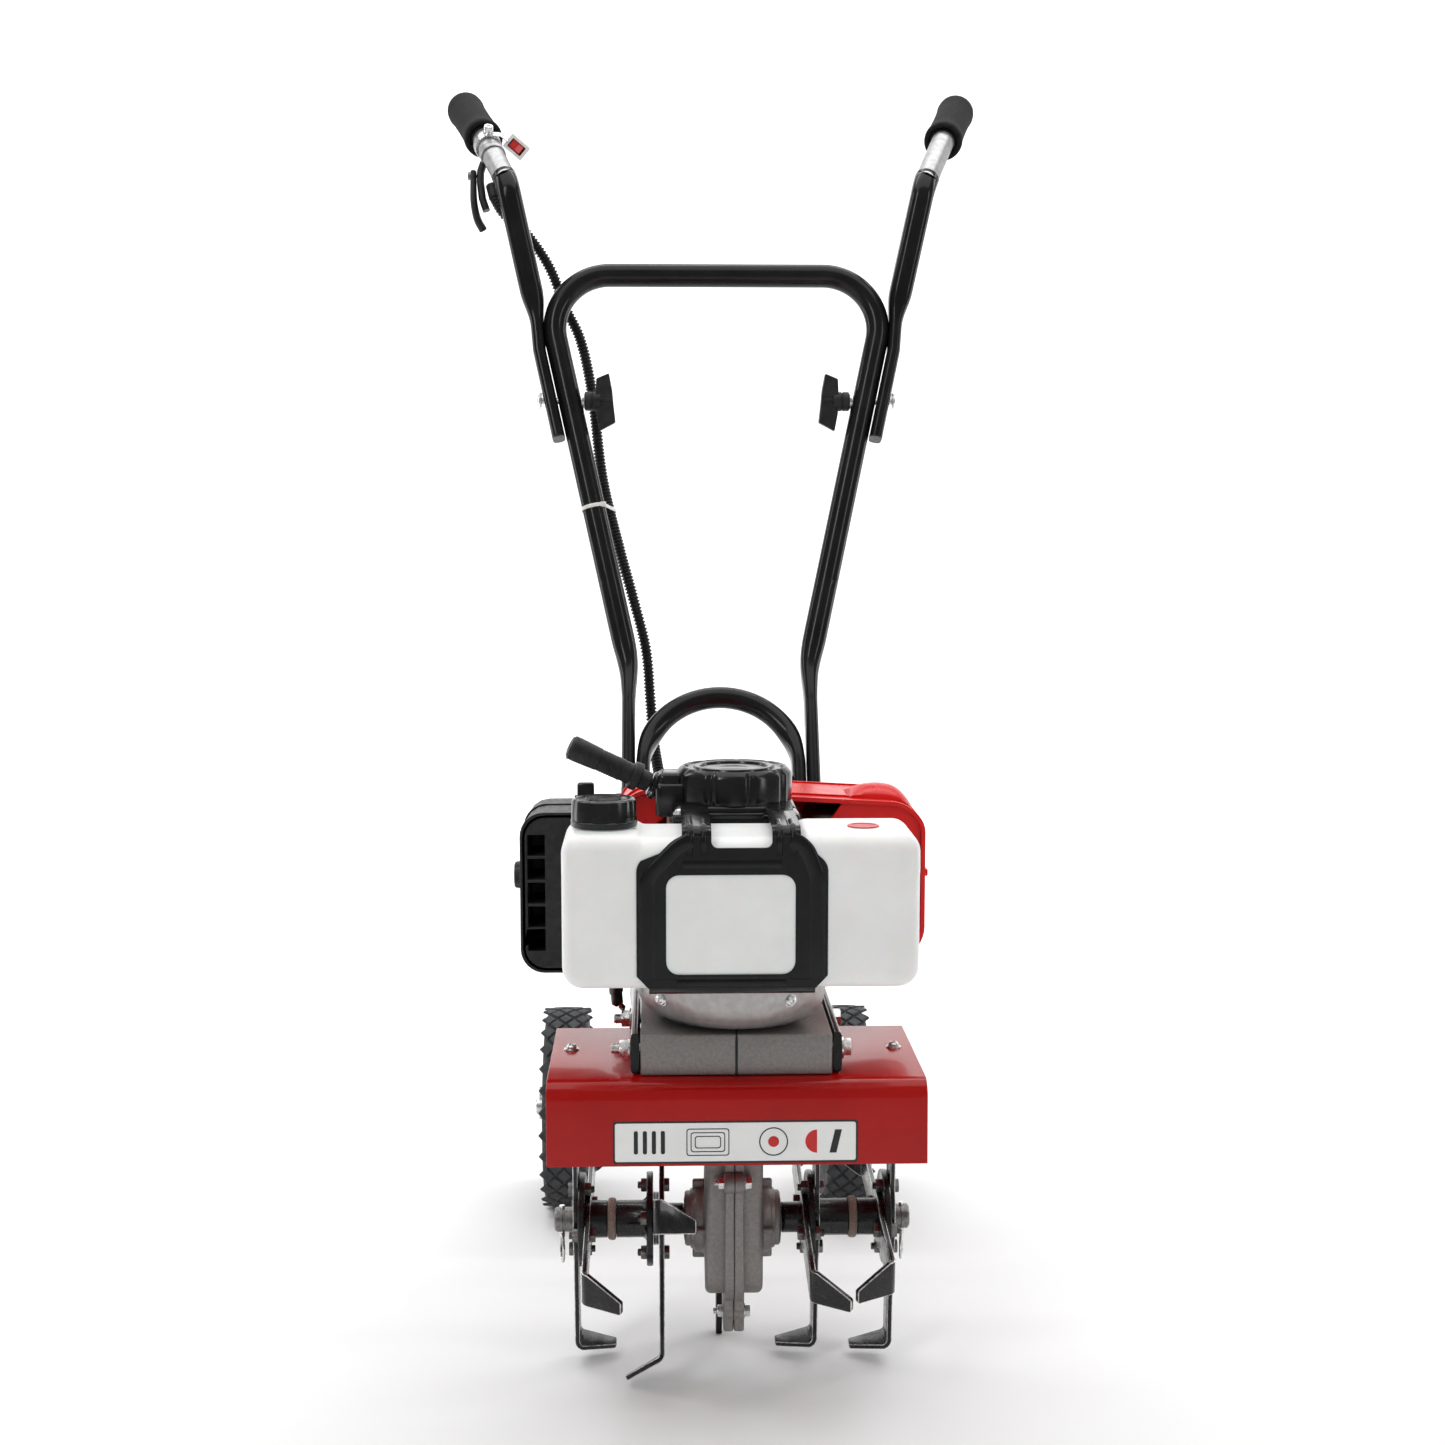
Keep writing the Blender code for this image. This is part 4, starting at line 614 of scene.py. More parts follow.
def tine_bar(name, x, angle, leaf_way, slope):
    """A flat bar with a widened middle, both ends bent over into leaves, with bright metal on its
    bevelled edges as a painted highlight.
    """
    # Each station is: out from the bar's plane, radius, half width in front, half width behind.
    stations = [(0.0, 0.0, 0.020, 0.020), (0.0, 0.010, 0.020, 0.020), (0.0, 0.017, 0.0185, 0.0185),
                (0.0, 0.024, 0.0150, 0.0150), (0.0, 0.031, 0.0130, 0.0130),
                (0.0, 0.070, 0.0130, 0.0130), (0.0, BEND_R - LEAF_BEND, 0.0130, 0.0128)]
    turn = math.radians(90 - slope)
    steps = 8
    for i in range(1, steps + 1):
        part = turn * i / steps
        stations.append((LEAF_BEND * (1 - math.cos(part)),
                         BEND_R - LEAF_BEND + LEAF_BEND * math.sin(part), 0.0125, 0.0125))
    out, radius = stations[-1][:2]
    length = LEAF - out
    for share, front, rear in ((0.5, 0.0050, 0.0125), (0.96, -0.0020, 0.0125), (1.0, -0.0032, 0.0105)):
        stations.append((out + length * share * math.sin(turn),
                         radius + length * share * math.cos(turn), front, rear))
    bm = bmesh.new()
    rows = []
    strip = [(s, 180.0) for s in reversed(stations[1:])] + [(s, 0.0) for s in stations]
    for (out, radius, front, rear), flip in strip:
        outward, ahead = bar_direction(angle + flip)
        middle = Vector((x + leaf_way * out, 0, TINE_HEIGHT)) + outward * radius
        pair = [bm.verts.new(middle + ahead * front), bm.verts.new(middle - ahead * rear)]
        rows.append(pair if flip == 0.0 else pair[::-1])
    for first, second in zip(rows, rows[1:]):
        bm.faces.new((first[0], first[1], second[1], second[0]))
    bar = put("tine_bar_" + name, bm, BAR_BLACK, "tines", "tines_" + name, more=(PAINTED_EDGE_HIGHLIGHT,))
    thicken(bar, BAR_T).use_even_offset = True
    # The bevel strips take the second material, bright steel painted on as the edges' highlight.
    edge = bar.modifiers.new("edge", "BEVEL")
    edge.width = 0.0006
    edge.segments = 2
    edge.limit_method = "ANGLE"
    edge.angle_limit = math.radians(50)
    edge.material = 1


def make_rotor(name, middle, bars):
    """A hub on its tube, two bars bolted to its flange, and the bolts."""
    end = math.copysign(HUB_END[name.split("_")[1]], middle)
    direction = math.copysign(1.0, end - middle)
    length = abs(end - middle) + FLANGE_T / 2
    bm = bmesh.new()
    lathe(bm, [(0.0, SHAFT_R), (0.0, FLANGE_R - 0.0008), (0.0008, FLANGE_R),
               (FLANGE_T - 0.0008, FLANGE_R), (FLANGE_T, FLANGE_R - 0.0008),
               (FLANGE_T, HUB_R + 0.003), (FLANGE_T + 0.0012, HUB_R + 0.0012),
               (FLANGE_T + 0.003, HUB_R), (length - 0.0006, HUB_R), (length, HUB_R - 0.0006),
               (length, SHAFT_R)],
          (middle - direction * FLANGE_T / 2, 0, TINE_HEIGHT), (direction, 0, 0), 56)
    put("hub_shell_" + name, bm, BAR_BLACK, "tines", "hub_" + name)
    bm = bmesh.new()
    for letter, (x, angle, leaf_way, slope) in zip("ab", bars):
        tine_bar(name + "_" + letter, x, angle, leaf_way, slope)
        out = math.copysign(1.0, x - middle)
        head_x, nut_x = x + out * BAR_T / 2, middle - out * FLANGE_T / 2
        for end_way in (-1, 1):
            place = TINE_AXIS + bar_direction(angle)[0] * TINE_BOLT_R * end_way
            hexagon(bm, place + Vector((head_x, 0, 0)), (out, 0, 0), 0.0100, 0.0040)
            hexagon(bm, place + Vector((nut_x, 0, 0)), (-out, 0, 0), 0.0100, TINE_NUT)
            thread(bm, place + Vector((middle - out * (FLANGE_T / 2 + TINE_NUT), 0, 0)),
                   (-out, 0, 0), 0.0029, 0.0022)
    put("tine_bolts_" + name, bm, DARK_ZINC, "tines", sharp=25)


def make_linch_pin(label, side):
    """The pin through a shaft end, and the ring that hangs from it."""
    x = side * 0.1325
    bottom = TINE_HEIGHT - SHAFT_R
    bm = bmesh.new()
    tube(bm, [(x, 0, TINE_HEIGHT + SHAFT_R + 0.0018), (x, 0, TINE_HEIGHT),
              (x, 0, bottom - 0.0045)], 0.0021, 14)
    tube(bm, [Vector((x + 0.0016 * math.sin(a) * side, 0.0095 * math.sin(a),
                      bottom - 0.0128 + 0.0112 * math.cos(a)))
              for a in (math.tau * i / 40 for i in range(41))], 0.0011, 10)
    put("linch_pin_" + label, bm, ZINC, "tines")


def make_felt_ring(label, side):
    """The felt ring between two hub tubes, a little ragged."""
    random.seed(5)
    bm = bmesh.new()
    low, high = HUB_END["inner"] + 0.0004, HUB_END["outer"] - 0.0004
    ring_lathe(bm, [(low, SHAFT_R), (low, 0.0148), (low + 0.0010, 0.0157), (0.0935, 0.0160),
                    (high - 0.0010, 0.0157), (high, 0.0148), (high, SHAFT_R)],
               TINE_AXIS, (side, 0, 0), 60)
    for vertex in bm.verts:
        off = Vector((0, vertex.co.y, vertex.co.z - TINE_HEIGHT))
        if off.length > 0.012:
            vertex.co += off.normalized() * random.uniform(-0.0003, 0.0003)
    put("felt_ring_" + label, bm, FELT, "tines", sharp=60)


def make_tines():
    """Four rotors on the drive shaft, the sleeves between them, pins and felt rings."""
    for name, middle, *bars in ROTORS:
        make_rotor(name, middle, bars)

    bm = bmesh.new()
    profile = [(-SHAFT_HALF, 0.0), (-SHAFT_HALF, SHAFT_R - 0.0014), (0.0014 - SHAFT_HALF, SHAFT_R),
               (0.0062 - SHAFT_HALF, SHAFT_R), (0.0066 - SHAFT_HALF, SHAFT_R - 0.0005),
               (0.0074 - SHAFT_HALF, SHAFT_R - 0.0005), (0.0078 - SHAFT_HALF, SHAFT_R)]
    lathe(bm, both_ways(profile), TINE_AXIS, (1, 0, 0), 48)
    put("drive_shaft", bm, TURNED, "tines", "tine_shaft")

    bm = bmesh.new()
    for side, flange in ((-1, 0.0614), (1, 0.0576)):
        ring_lathe(bm, [(0.0384, SHAFT_R), (0.0384, 0.0114), (0.0390, 0.0118), (flange, 0.0118),
                        (flange, SHAFT_R)], TINE_AXIS, (side, 0, 0), 40)
    put("shaft_sleeves", bm, BAR_BLACK, "tines")
    for label, side in SIDES:
        make_linch_pin(label, side)
        make_felt_ring(label, side)


# ---------------------------------------------------------------- gearbox and fender
SEAM_BOLTS = ((-0.0525, 0.1630), (-0.0290, 0.0535), (0.0330, 0.0920), (0.0065, 0.1690))


def case_outline(grow):
    """Side outline (y, z): round about the tine shaft, straight about the worm, then the neck."""
    wheel_r = 0.033 + grow
    worm_r = 0.0175 + grow
    return ([(WORM_Y - worm_r, 0.2600), (WORM_Y - worm_r, 0.086)]
            + arc((WORM_Y, 0.086), worm_r, 180, 262, 12)
            + arc((0.0, TINE_HEIGHT), wheel_r, -98, 58, 30)
            + [(WORM_Y + worm_r, 0.172 + grow), (WORM_Y + worm_r, 0.2600)])


def make_case_half(label, side):
    """One cast half: block, neck, body, seam flange, foot lug and shaft boss, all well rounded."""
    low, high = span("gearbox_left")
    seam = 0.00015
    body = ([(WORM_Y - 0.0175, 0.178)] + [p for p in case_outline(0.0) if p[1] < 0.17]
            + [(WORM_Y + 0.0175, 0.178)])
    foot = [(-0.040, 0.085), (-0.034, 0.0385), (-0.030, 0.038), (-0.006, 0.038), (-0.002, 0.0385),
            (0.004, 0.085)]
    shapes = (("neck", case_outline(-0.003), 0.0155, 0.0045), ("body", body, 0.0220, 0.0062),
              ("flange", case_outline(0.006), 0.0072, 0.0010), ("foot", foot, 0.0080, 0.0018))
    for part, outline, reach, bevel in shapes:
        bm = bmesh.new()
        plate(bm, [outline], reach - seam, SIDE_VIEW, side * (reach + seam) / 2)
        nodes = ("gearbox_" + label,) if part == "body" else ()
        put("case_" + part + "_" + label, bm, CAST, "root", *nodes, sharp=45, bevel=bevel, segments=6)
    bm = bmesh.new()
    a, b = ordered(side * seam, side * -low.x, low.y, BLOCK_REAR_Y, BLOCK_FOOT_Z, high.z)
    block(bm, a, b, 0.0014, 3)
    ring_lathe(bm, [(0.0160, 0.0100), (0.0160, 0.0285), (0.0215, 0.0285), (0.0235, 0.0262),
                    (0.0285, 0.0255), (0.0300, 0.0240), (0.0300, 0.0222), (0.0310, 0.0212),
                    (0.0357, 0.0210), (0.0370, 0.0197), (0.0370, 0.0100)], TINE_AXIS,
               (side, 0, 0), 64)
    if side < 0:
        half_x, half_y = 0.0028, 0.0123
        plate(bm, [[(-0.018, 0.024), (0.009, 0.024), (0.009, STAKE_Y + 0.0165),
                    (-0.018, STAKE_Y + 0.0165)],
                   [(STAKE_X - half_x, STAKE_Y - half_y), (STAKE_X + half_x, STAKE_Y - half_y),
                    (STAKE_X + half_x, STAKE_Y + half_y), (STAKE_X - half_x, STAKE_Y + half_y)]],
              0.030, TOP_VIEW, 0.161)
    put("case_block_" + label, bm, CAST, "root", sharp=40)


def make_bosses(label, side):
    """Screw bosses, the four webs about a shaft boss, and its seal."""
    bm = bmesh.new()
    for y, z in SEAM_BOLTS:
        lathe(bm, [(0.0003, 0.0), (0.0003, 0.0080), (0.0070, 0.0078), (0.0080, 0.0070),
                   (0.0080, 0.0)], (0, y, z), (side, 0, 0), 28)
    for degrees in (0, 90, 180, 270):
        angle = math.radians(degrees)
        way = Vector((0, math.cos(angle), math.sin(angle)))
        foot = Vector((side * 0.0215, 0, TINE_HEIGHT)) + way * 0.0240
        turn = Matrix.Rotation(angle - math.pi / 2, 4, "X") @ Matrix.Scale(side, 4, (1, 0, 0))
        block(bm, (-0.0010, -0.0022, -0.0075), (0.0095, 0.0022, 0.0075), 0.0016, 3,
              Matrix.Translation(foot) @ turn)
    ring_lathe(bm, [(0.0300, 0.0205), (0.0300, 0.0235), (0.0325, 0.0225), (0.0330, 0.0205)],
               TINE_AXIS, (side, 0, 0), 48)
    put("gearbox_bosses_" + label, bm, CAST, "root", sharp=40)

    bm = bmesh.new()
    ring_lathe(bm, [(0.0366, 0.0102), (0.0372, 0.0112), (0.0376, 0.0150), (0.0372, 0.0172),
                    (0.0366, 0.0176)], TINE_AXIS, (side, 0, 0), 40)
    put("shaft_seal_" + label, bm, MATT_PLASTIC, "root")


def make_gearbox():
    """Both halves, the bolts along their seam, the gasket and the two clamp bolts."""
    for label, side in SIDES:
        make_case_half(label, side)
        make_bosses(label, side)
    bm = bmesh.new()
    for y, z in SEAM_BOLTS:
        hexagon(bm, (-0.0080, y, z), (-1, 0, 0), 0.0085, 0.0042)
        thread(bm, (-0.0122, y, z), (-1, 0, 0), 0.0024, 0.0030)
        lathe(bm, [(0.0, 0.0058), (0.0009, 0.0058), (0.0009, 0.0)], (0.0080, y, z), (1, 0, 0), 24)
        hexagon(bm, (0.0089, y, z), (1, 0, 0), 0.0085, 0.0038)
    put("seam_bolts", bm, ZINC, "root", sharp=25)

    low, high = span("gearbox_left")
    bm = bmesh.new()
    block(bm, (-0.0006, low.y - 0.0003, 0.2390), (0.0006, low.y + 0.0040, high.z - 0.0015))
    put("block_gasket", bm, MATT_PLASTIC, "root", sharp=40)

    for label, y in zip(("front", "rear"), BLOCK_BOLT_Y):
        bm = bmesh.new()
        lathe(bm, [(-0.0800, 0.0), (-0.0800, 0.0039), (0.0800, 0.0039), (0.0800, 0.0)],
              (0, y, BLOCK_BOLT_Z), (1, 0, 0), 20)
        lathe(bm, [(0.0, 0.0085), (0.0012, 0.0085), (0.0014, 0.0080), (0.0014, 0.0)],
              (-0.0781, y, BLOCK_BOLT_Z), (-1, 0, 0), 28)
        hexagon(bm, (-0.0795, y, BLOCK_BOLT_Z), (-1, 0, 0), 0.0127, 0.0062)
        thread(bm, (-0.0850, y, BLOCK_BOLT_Z), (-1, 0, 0), 0.0039, 0.0062)
        lathe(bm, [(0.0, 0.0088), (0.0012, 0.0088), (0.0016, 0.0080), (0.0016, 0.0)],
              (0.0781, y, BLOCK_BOLT_Z), (1, 0, 0), 28)
        hexagon(bm, (0.0797, y, BLOCK_BOLT_Z), (1, 0, 0), 0.0127, 0.0053)
        put("clamp_bolt_" + label, bm, ZINC, "root", "block_bolt_" + label, sharp=25)


def make_fender():
    """Folded sheet over the tines, its two screws, and a label of plain marks."""
    refine("fender", RED_PAINT, bevel=0.0006, segments=3, sharp=40)
    low, high = span("fender")
    bm = bmesh.new()
    for side in (-1, 1):
        x, y = side * 0.1235, -0.0143
        lathe(bm, [(0.0, 0.0058), (0.0008, 0.0058), (0.0011, 0.0050), (0.0011, 0.0)], (x, y, high.z),
              (0, 0, 1), 28)
        screw(bm, (x, y, high.z + 0.0011), (0, 0, 1), 0.0040, 0.0034)
    put("fender_screws", bm, ZINC, "root", sharp=30)

    tilt = Matrix.Translation((-0.0014, low.y - 0.0002 + 0.0010, 0.2125)) @ Matrix.Rotation(
        math.radians(-2.4), 4, "X")

    def decal(name, shapes, lift, finish):
        bm = bmesh.new()
        for outlines in shapes:
            plate(bm, outlines, 0.0003, FRONT_VIEW, lift)
        bmesh.ops.transform(bm, matrix=tilt, verts=bm.verts)
        put(name, bm, finish, "root", sharp=30)

    def centred(x, half_w, half_h, radius, count):
        return rounded_rectangle((x - half_w, -half_h), (x + half_w, half_h), radius, count)

    half_w, half_h, border = 0.0885, 0.0155, 0.0014
    edge = centred(0.0, half_w, half_h, 0.0022, 6)
    marks = [[edge, centred(0.0, half_w - border, half_h - border, 0.0016, 6)]]
    marks += [[centred(-0.0720 + 0.0065 * i, 0.0015, 0.0085, 0.0012, 3)] for i in range(4)]
    for i in range(3):
        wide, tall = 0.0155 - 0.0030 * i, 0.0100 - 0.0027 * i
        marks.append([centred(-0.0200, wide, tall, 0.0020, 3),
                      centred(-0.0200, wide - 0.0007, tall - 0.0007, 0.0016, 3)])
    marks.append([arc((0.0275, 0.0), radius, 0, 351, 39) for radius in (0.0105, 0.0096)])
    marks.append([[(0.0680, -0.0085), (0.0730, -0.0085), (0.0770, 0.0085), (0.0720, 0.0085)]])
    decal("fender_label", [[edge]], 0.0, LABEL_WHITE)
    decal("fender_label_marks", marks, 0.00012, LABEL_BLACK)
    decal("fender_label_red", [[arc((0.0275, 0.0), 0.0040, 0, 350, 35)],
                               [arc((0.0590, 0.0), 0.0085, 90, 270, 18)]], 0.00012, LABEL_RED)


# ---------------------------------------------------------------- frame and handle
def make_arch():
    """The lower frame: one tube, pressed flat at its feet and where the hoop is bolted on."""
    foot = (0.00325, 0.0150, 4.0)
    flattened = (0.0065, 0.0135, 3.0)
    round_tube = (ARCH_R, ARCH_R, 2.0)
    spring_z = 0.494 - ARCH_X / math.hypot(1, LEG_SLOPE)
    foot_x = 0.070 + 0.0010 + foot[0]

    def arch_size(point):
        if point.y < 0.111:
            return mix(foot, round_tube, blend(point.y, 0.045, 0.111))
        up = blend(point.z, 0.330, 0.358)
        down = blend(point.z, 0.4405, 0.466)
        return mix(round_tube, flattened, up * (1 - down))

    slope = Vector((0, LEG_SLOPE, 1)).normalized()
    centre = Vector((0, leg_y(spring_z), spring_z))
    right = rounded([(foot_x, -0.084, BLOCK_BOLT_Z), (foot_x, 0.050, BLOCK_BOLT_Z),
                     (ARCH_X, 0.110, BLOCK_BOLT_Z), (ARCH_X, LEG_Y, BLOCK_BOLT_Z),
                     (ARCH_X, leg_y(0.335), 0.335)], (0.05, 0.05, 0.055))
    right = even(right + [Vector((ARCH_X, leg_y(z), z)) for z in (0.345, 0.360, spring_z)], 0.006)
    over = [centre + Vector((ARCH_X * math.cos(angle), 0, 0)) + slope * ARCH_X * math.sin(angle)
            for angle in (math.pi * i / 36 for i in range(1, 36))]
    bm = bmesh.new()
    sweep(bm, right + over + [mirrored(p, -1) for p in reversed(right)], arch_size)
    put("arch_tube", bm, GLOSS_BLACK, "root", "frame_arch", sharp=50)


def make_frame():
    """Arch, hoop, their bolts, the wheel bracket and the depth stake."""
    make_arch()
    pressed = (0.0063, 0.0140, 3.0)
    hoop_tube = (TUBE_R, TUBE_R, 2.0)
    leg = rounded([(HOOP_X, leg_y(0.365), 0.365), (HOOP_X, leg_y(0.490), 0.490),
                   (HOOP_X, leg_y(HOOP_BEND_Z), HOOP_BEND_Z), hoop_leg(0.60), HOOP_TOP,
                   mirrored(HOOP_TOP, -1)], (0.5, 0.075, 0.5, 0.052))[:-1]
    leg = even(leg, 0.006)
    bm = bmesh.new()
    sweep(bm, leg + [mirrored(p, -1) for p in reversed(leg)],
          lambda point: mix(pressed, hoop_tube, blend(point.z, 0.486, 0.548)))
    put("hoop_tube", bm, GLOSS_BLACK, "root", "handle_hoop", sharp=50)

    bm = bmesh.new()
    for side in (-1, 1):
        for z in (0.382, 0.412):
            y = leg_y(z)
            hexagon(bm, (side * 0.0901, y, z), (side, 0, 0), 0.0110, 0.0045)
            lathe(bm, [(0.0, 0.0075), (0.0010, 0.0075), (0.0010, 0.0)], (side * 0.0575, y, z),
                  (-side, 0, 0), 28)
            hexagon(bm, (side * 0.0565, y, z), (-side, 0, 0), 0.0110, 0.0055)
            thread(bm, (side * 0.0510, y, z), (-side, 0, 0), 0.0034, 0.0040)
    put("frame_bolts", bm, ZINC, "root", sharp=25)
    refine("wheel_bracket", GLOSS_BLACK, bevel=0.0008, segments=3, sharp=30)
    refine("depth_stake", GLOSS_BLACK, bevel=0.0005)


def make_handlebars():
    """Flattened black bars whose tongues lie over bare tubes, with their grips and knobs."""
    nested = (0.0062, 0.0125, 3.0)
    oval = (0.0110, 0.0140, 3.0)
    round_tube = (TUBE_R + 0.0007, TUBE_R + 0.0007, 2.0)
    offset = Vector((TUBE_R + nested[0] + 0.0010, 0, 0))
    along = (ELBOW - Vector(BEND_2)).normalized()
    tongue_end = Vector(BEND_2) + along * 0.013
    front = (Vector((0, -1, 0)) + along * along.y).normalized()

    def size_at(point):
        shape = mix(nested, oval, blend(point.z, BEND_1[2] - 0.016, BEND_1[2] + 0.020))
        return mix(shape, round_tube, blend(point.z, BEND_2[2] - 0.014, BEND_2[2] + 0.006))

    for label, side in SIDES:
        path = [hoop_leg(0.734) + offset] + rounded(
            [hoop_leg(0.815) + offset, BEND_1, BEND_2, tongue_end], (0.08, 0.03))
        path = [mirrored(p, side) for p in even(path, 0.005)]
        facing = mirrored(front, side)

        def tongue(offset_on_ring):
            share = offset_on_ring.normalized().dot(facing)
            return 0.011 * share if share > 0 else 0.006 * share

        def plug_size(point):
            share = 1.0 if point is path[0] else 0.96
            return (share * nested[0], share * nested[1], 3.0)

        bm = bmesh.new()
        sweep(bm, path, size_at, reach_at=tongue)
        put("bar_shell_" + label, bm, GLOSS_BLACK, "root", "handlebar_" + label, sharp=50)
        bm = bmesh.new()
        way = (path[0] - path[1]).normalized()
        sweep(bm, [path[0] - way * 0.004, path[0] + way * 0.0012, path[0] + way * 0.0020], plug_size)
        put("bar_plug_" + label, bm, MATT_PLASTIC, "root", sharp=50)
        bm = bmesh.new()
        inside = COLLAR + (GRIP_END - COLLAR) * 0.90
        line = rounded([Vector(BEND_2) + along * 0.004, ELBOW, inside], (0.04,), 4)
        tube(bm, [mirrored(p, side) for p in even(line, 0.006)], TUBE_R, 32)
        put("bare_tube_" + label, bm, BARE_TUBE, "root", sharp=50)
        make_grip(label, side)
        make_handle_bolt(label, side)


def make_grip(label, side):
    """Foam sleeve with a bell end and, at the tube's side, a dark collar inside a soft rim."""
    start = mirrored(COLLAR, side)
    axis = mirrored(GRIP_END - COLLAR, side)
    length = axis.length
    profile = [(0.0045, TUBE_R), (0.0040, 0.0125), (0.0010, 0.0150), (0.0002, 0.0168),
               (0.0004, 0.0178), (0.0016, 0.0186), (0.0060, 0.0189), (0.0105, 0.0187),
               (0.0125, 0.0180), (0.0300, 0.0177), (length * 0.5, 0.0175),
               (length - 0.030, 0.0178), (length - 0.018, 0.0184), (length - 0.010, 0.0189),
               (length - 0.005, 0.0187), (length - 0.0018, 0.0172), (length - 0.0004, 0.0140),
               (length, 0.0060), (length, 0.0)]
    bm = bmesh.new()
    lathe(bm, profile, start, axis, 56)
    put("grip_sleeve_" + label, bm, FOAM, "root", "grip_" + label, sharp=60)
    collar = bmesh.new()
    ring_lathe(collar, [(0.0046, TUBE_R + 0.0001), (-0.0012, TUBE_R + 0.0001),
                        (-0.0012, TUBE_R + 0.0010), (0.0020, TUBE_R + 0.0022),
                        (0.0046, TUBE_R + 0.0040)], start, axis, 40)
    put("grip_collar_" + label, collar, GLOSS_PLASTIC, "root", sharp=40)


def make_handle_bolt(label, side):
    """Domed bolt outside, washers and the angular winged knob inside."""
    low, high = span("handle_bolt_" + label)
    y, z = (low.y + high.y) / 2, (low.z + high.z) / 2
    head = (high.x if side > 0 else low.x) - side * 0.0045
    stem = JOINTS["knob_" + label + "_turn"]["pos_m"][0] - HOME.x
    bm = bmesh.new()
    lathe(bm, [(0.0, 0.0), (0.0, 0.0078), (0.0008, 0.0080), (0.0018, 0.0074), (0.0032, 0.0056),
               (0.0042, 0.0030), (0.0045, 0.0)], (head, y, z), (side, 0, 0), 36)
    tube(bm, [(head, y, z), ((head + stem) / 2, y, z), (stem - side * 0.008, y, z)], 0.0030, 18)
    for i, radius in enumerate((0.0072, 0.0062)):
        lathe(bm, [(0.0, 0.0), (0.0, radius), (0.0010, radius), (0.0010, 0.0)],
              (stem + side * (0.0004 + 0.0013 * i), y, z), (side, 0, 0), 30)
    put("knob_bolt_" + label, bm, ZINC, "root", "handle_bolt_" + label, sharp=35)

    body = "knob_" + label
    bm = bmesh.new()
    lathe(bm, [(0.0, 0.0), (0.0, 0.0082), (0.0008, 0.0090), (0.0060, 0.0092), (0.0066, 0.0084),
               (0.0072, 0.0084), (0.0078, 0.0092), (0.0150, 0.0088), (0.0150, 0.0)],
          (stem, y, z), (-side, 0, 0), 36)
    put("knob_stem_" + label, bm, MATT_PLASTIC, body, "knob_" + label, sharp=30)
    wing = [(-0.0050, 0.026), (0.0070, 0.021), (0.0078, 0.004), (0.0070, -0.012), (0.0040, -0.028),
            (-0.0110, -0.020), (-0.0092, -0.004), (-0.0080, 0.010)]
    bm = bmesh.new()
    plate(bm, [[(stem + side * (a - 0.018), z + b) for a, b in wing]], 0.013, FRONT_VIEW, -y)
    put("knob_wing_" + label, bm, MATT_PLASTIC, body, sharp=20, bevel=0.0011, segments=3)
    bm = bmesh.new()
    block(bm, (-0.0070, -0.0072, -0.0016), (0.0075, 0.0072, 0.0016), 0.0007,
          place=Matrix.Translation((stem - side * 0.018, y, z + 0.001)))
    put("knob_rib_" + label, bm, MATT_PLASTIC, body, sharp=30)


# ---------------------------------------------------------------- engine
def volute(angle):
    """Outer radius of the fan housing: it opens out towards the left front."""
    return 0.068 + 0.014 * ((math.degrees(angle) + 30) % 360 / 360)


def make_fan_housing():
    """Cast bowl with a machined lip, screws on its rim and ribs underneath."""
    low, high = span("fan_housing")
    steps = 120
    levels = ((low.z, 0.70), (low.z, 0.735), (low.z + 0.0015, 0.765), (low.z + 0.0060, 0.865),
              (low.z + 0.0120, 0.925), (low.z + 0.0180, 0.965), (low.z + 0.0250, 0.990),
              (low.z + 0.0310, 0.996), (low.z + 0.0320, 1.0), (high.z - 0.0006, 1.0),
              (high.z, 0.994), (high.z, 0.80))
    rings = []
    for z, share in levels:
        ring = []
        for k in range(steps):
            angle = math.tau * k / steps
            soft = sum(volute(angle + shift) for shift in (-0.10, -0.05, 0, 0.05, 0.10)) / 5
            ring.append(Vector((share * soft * math.cos(angle),
                                WORM_Y + share * soft * math.sin(angle), z)))
        rings.append(ring)
    bm = bmesh.new()
    loft(bm, rings)
    put("fan_housing_shell", bm, FAN_CAST, "root", "fan_housing", sharp=38)

    bm = bmesh.new()
    bosses = bmesh.new()
    for angle in (58, 122, 180, 238, 302, 0):
        reach = volute(math.radians(angle)) - 0.0055
        place = Vector((reach * math.cos(math.radians(angle)),
                        WORM_Y + reach * math.sin(math.radians(angle)), 0))
        lathe(bosses, [(high.z - 0.020, 0.0), (high.z - 0.018, 0.0050), (high.z - 0.001, 0.0062),
                       (high.z + 0.0002, 0.0058), (high.z + 0.0002, 0.0)], place, (0, 0, 1), 24)
        screw(bm, place + Vector((0, 0, high.z + 0.0006)), (0, 0, 1), 0.0042, 0.0034)
    put("fan_screw_bosses", bosses, FAN_CAST, "root", sharp=38)
    put("fan_screws", bm, ZINC, "root", sharp=30)


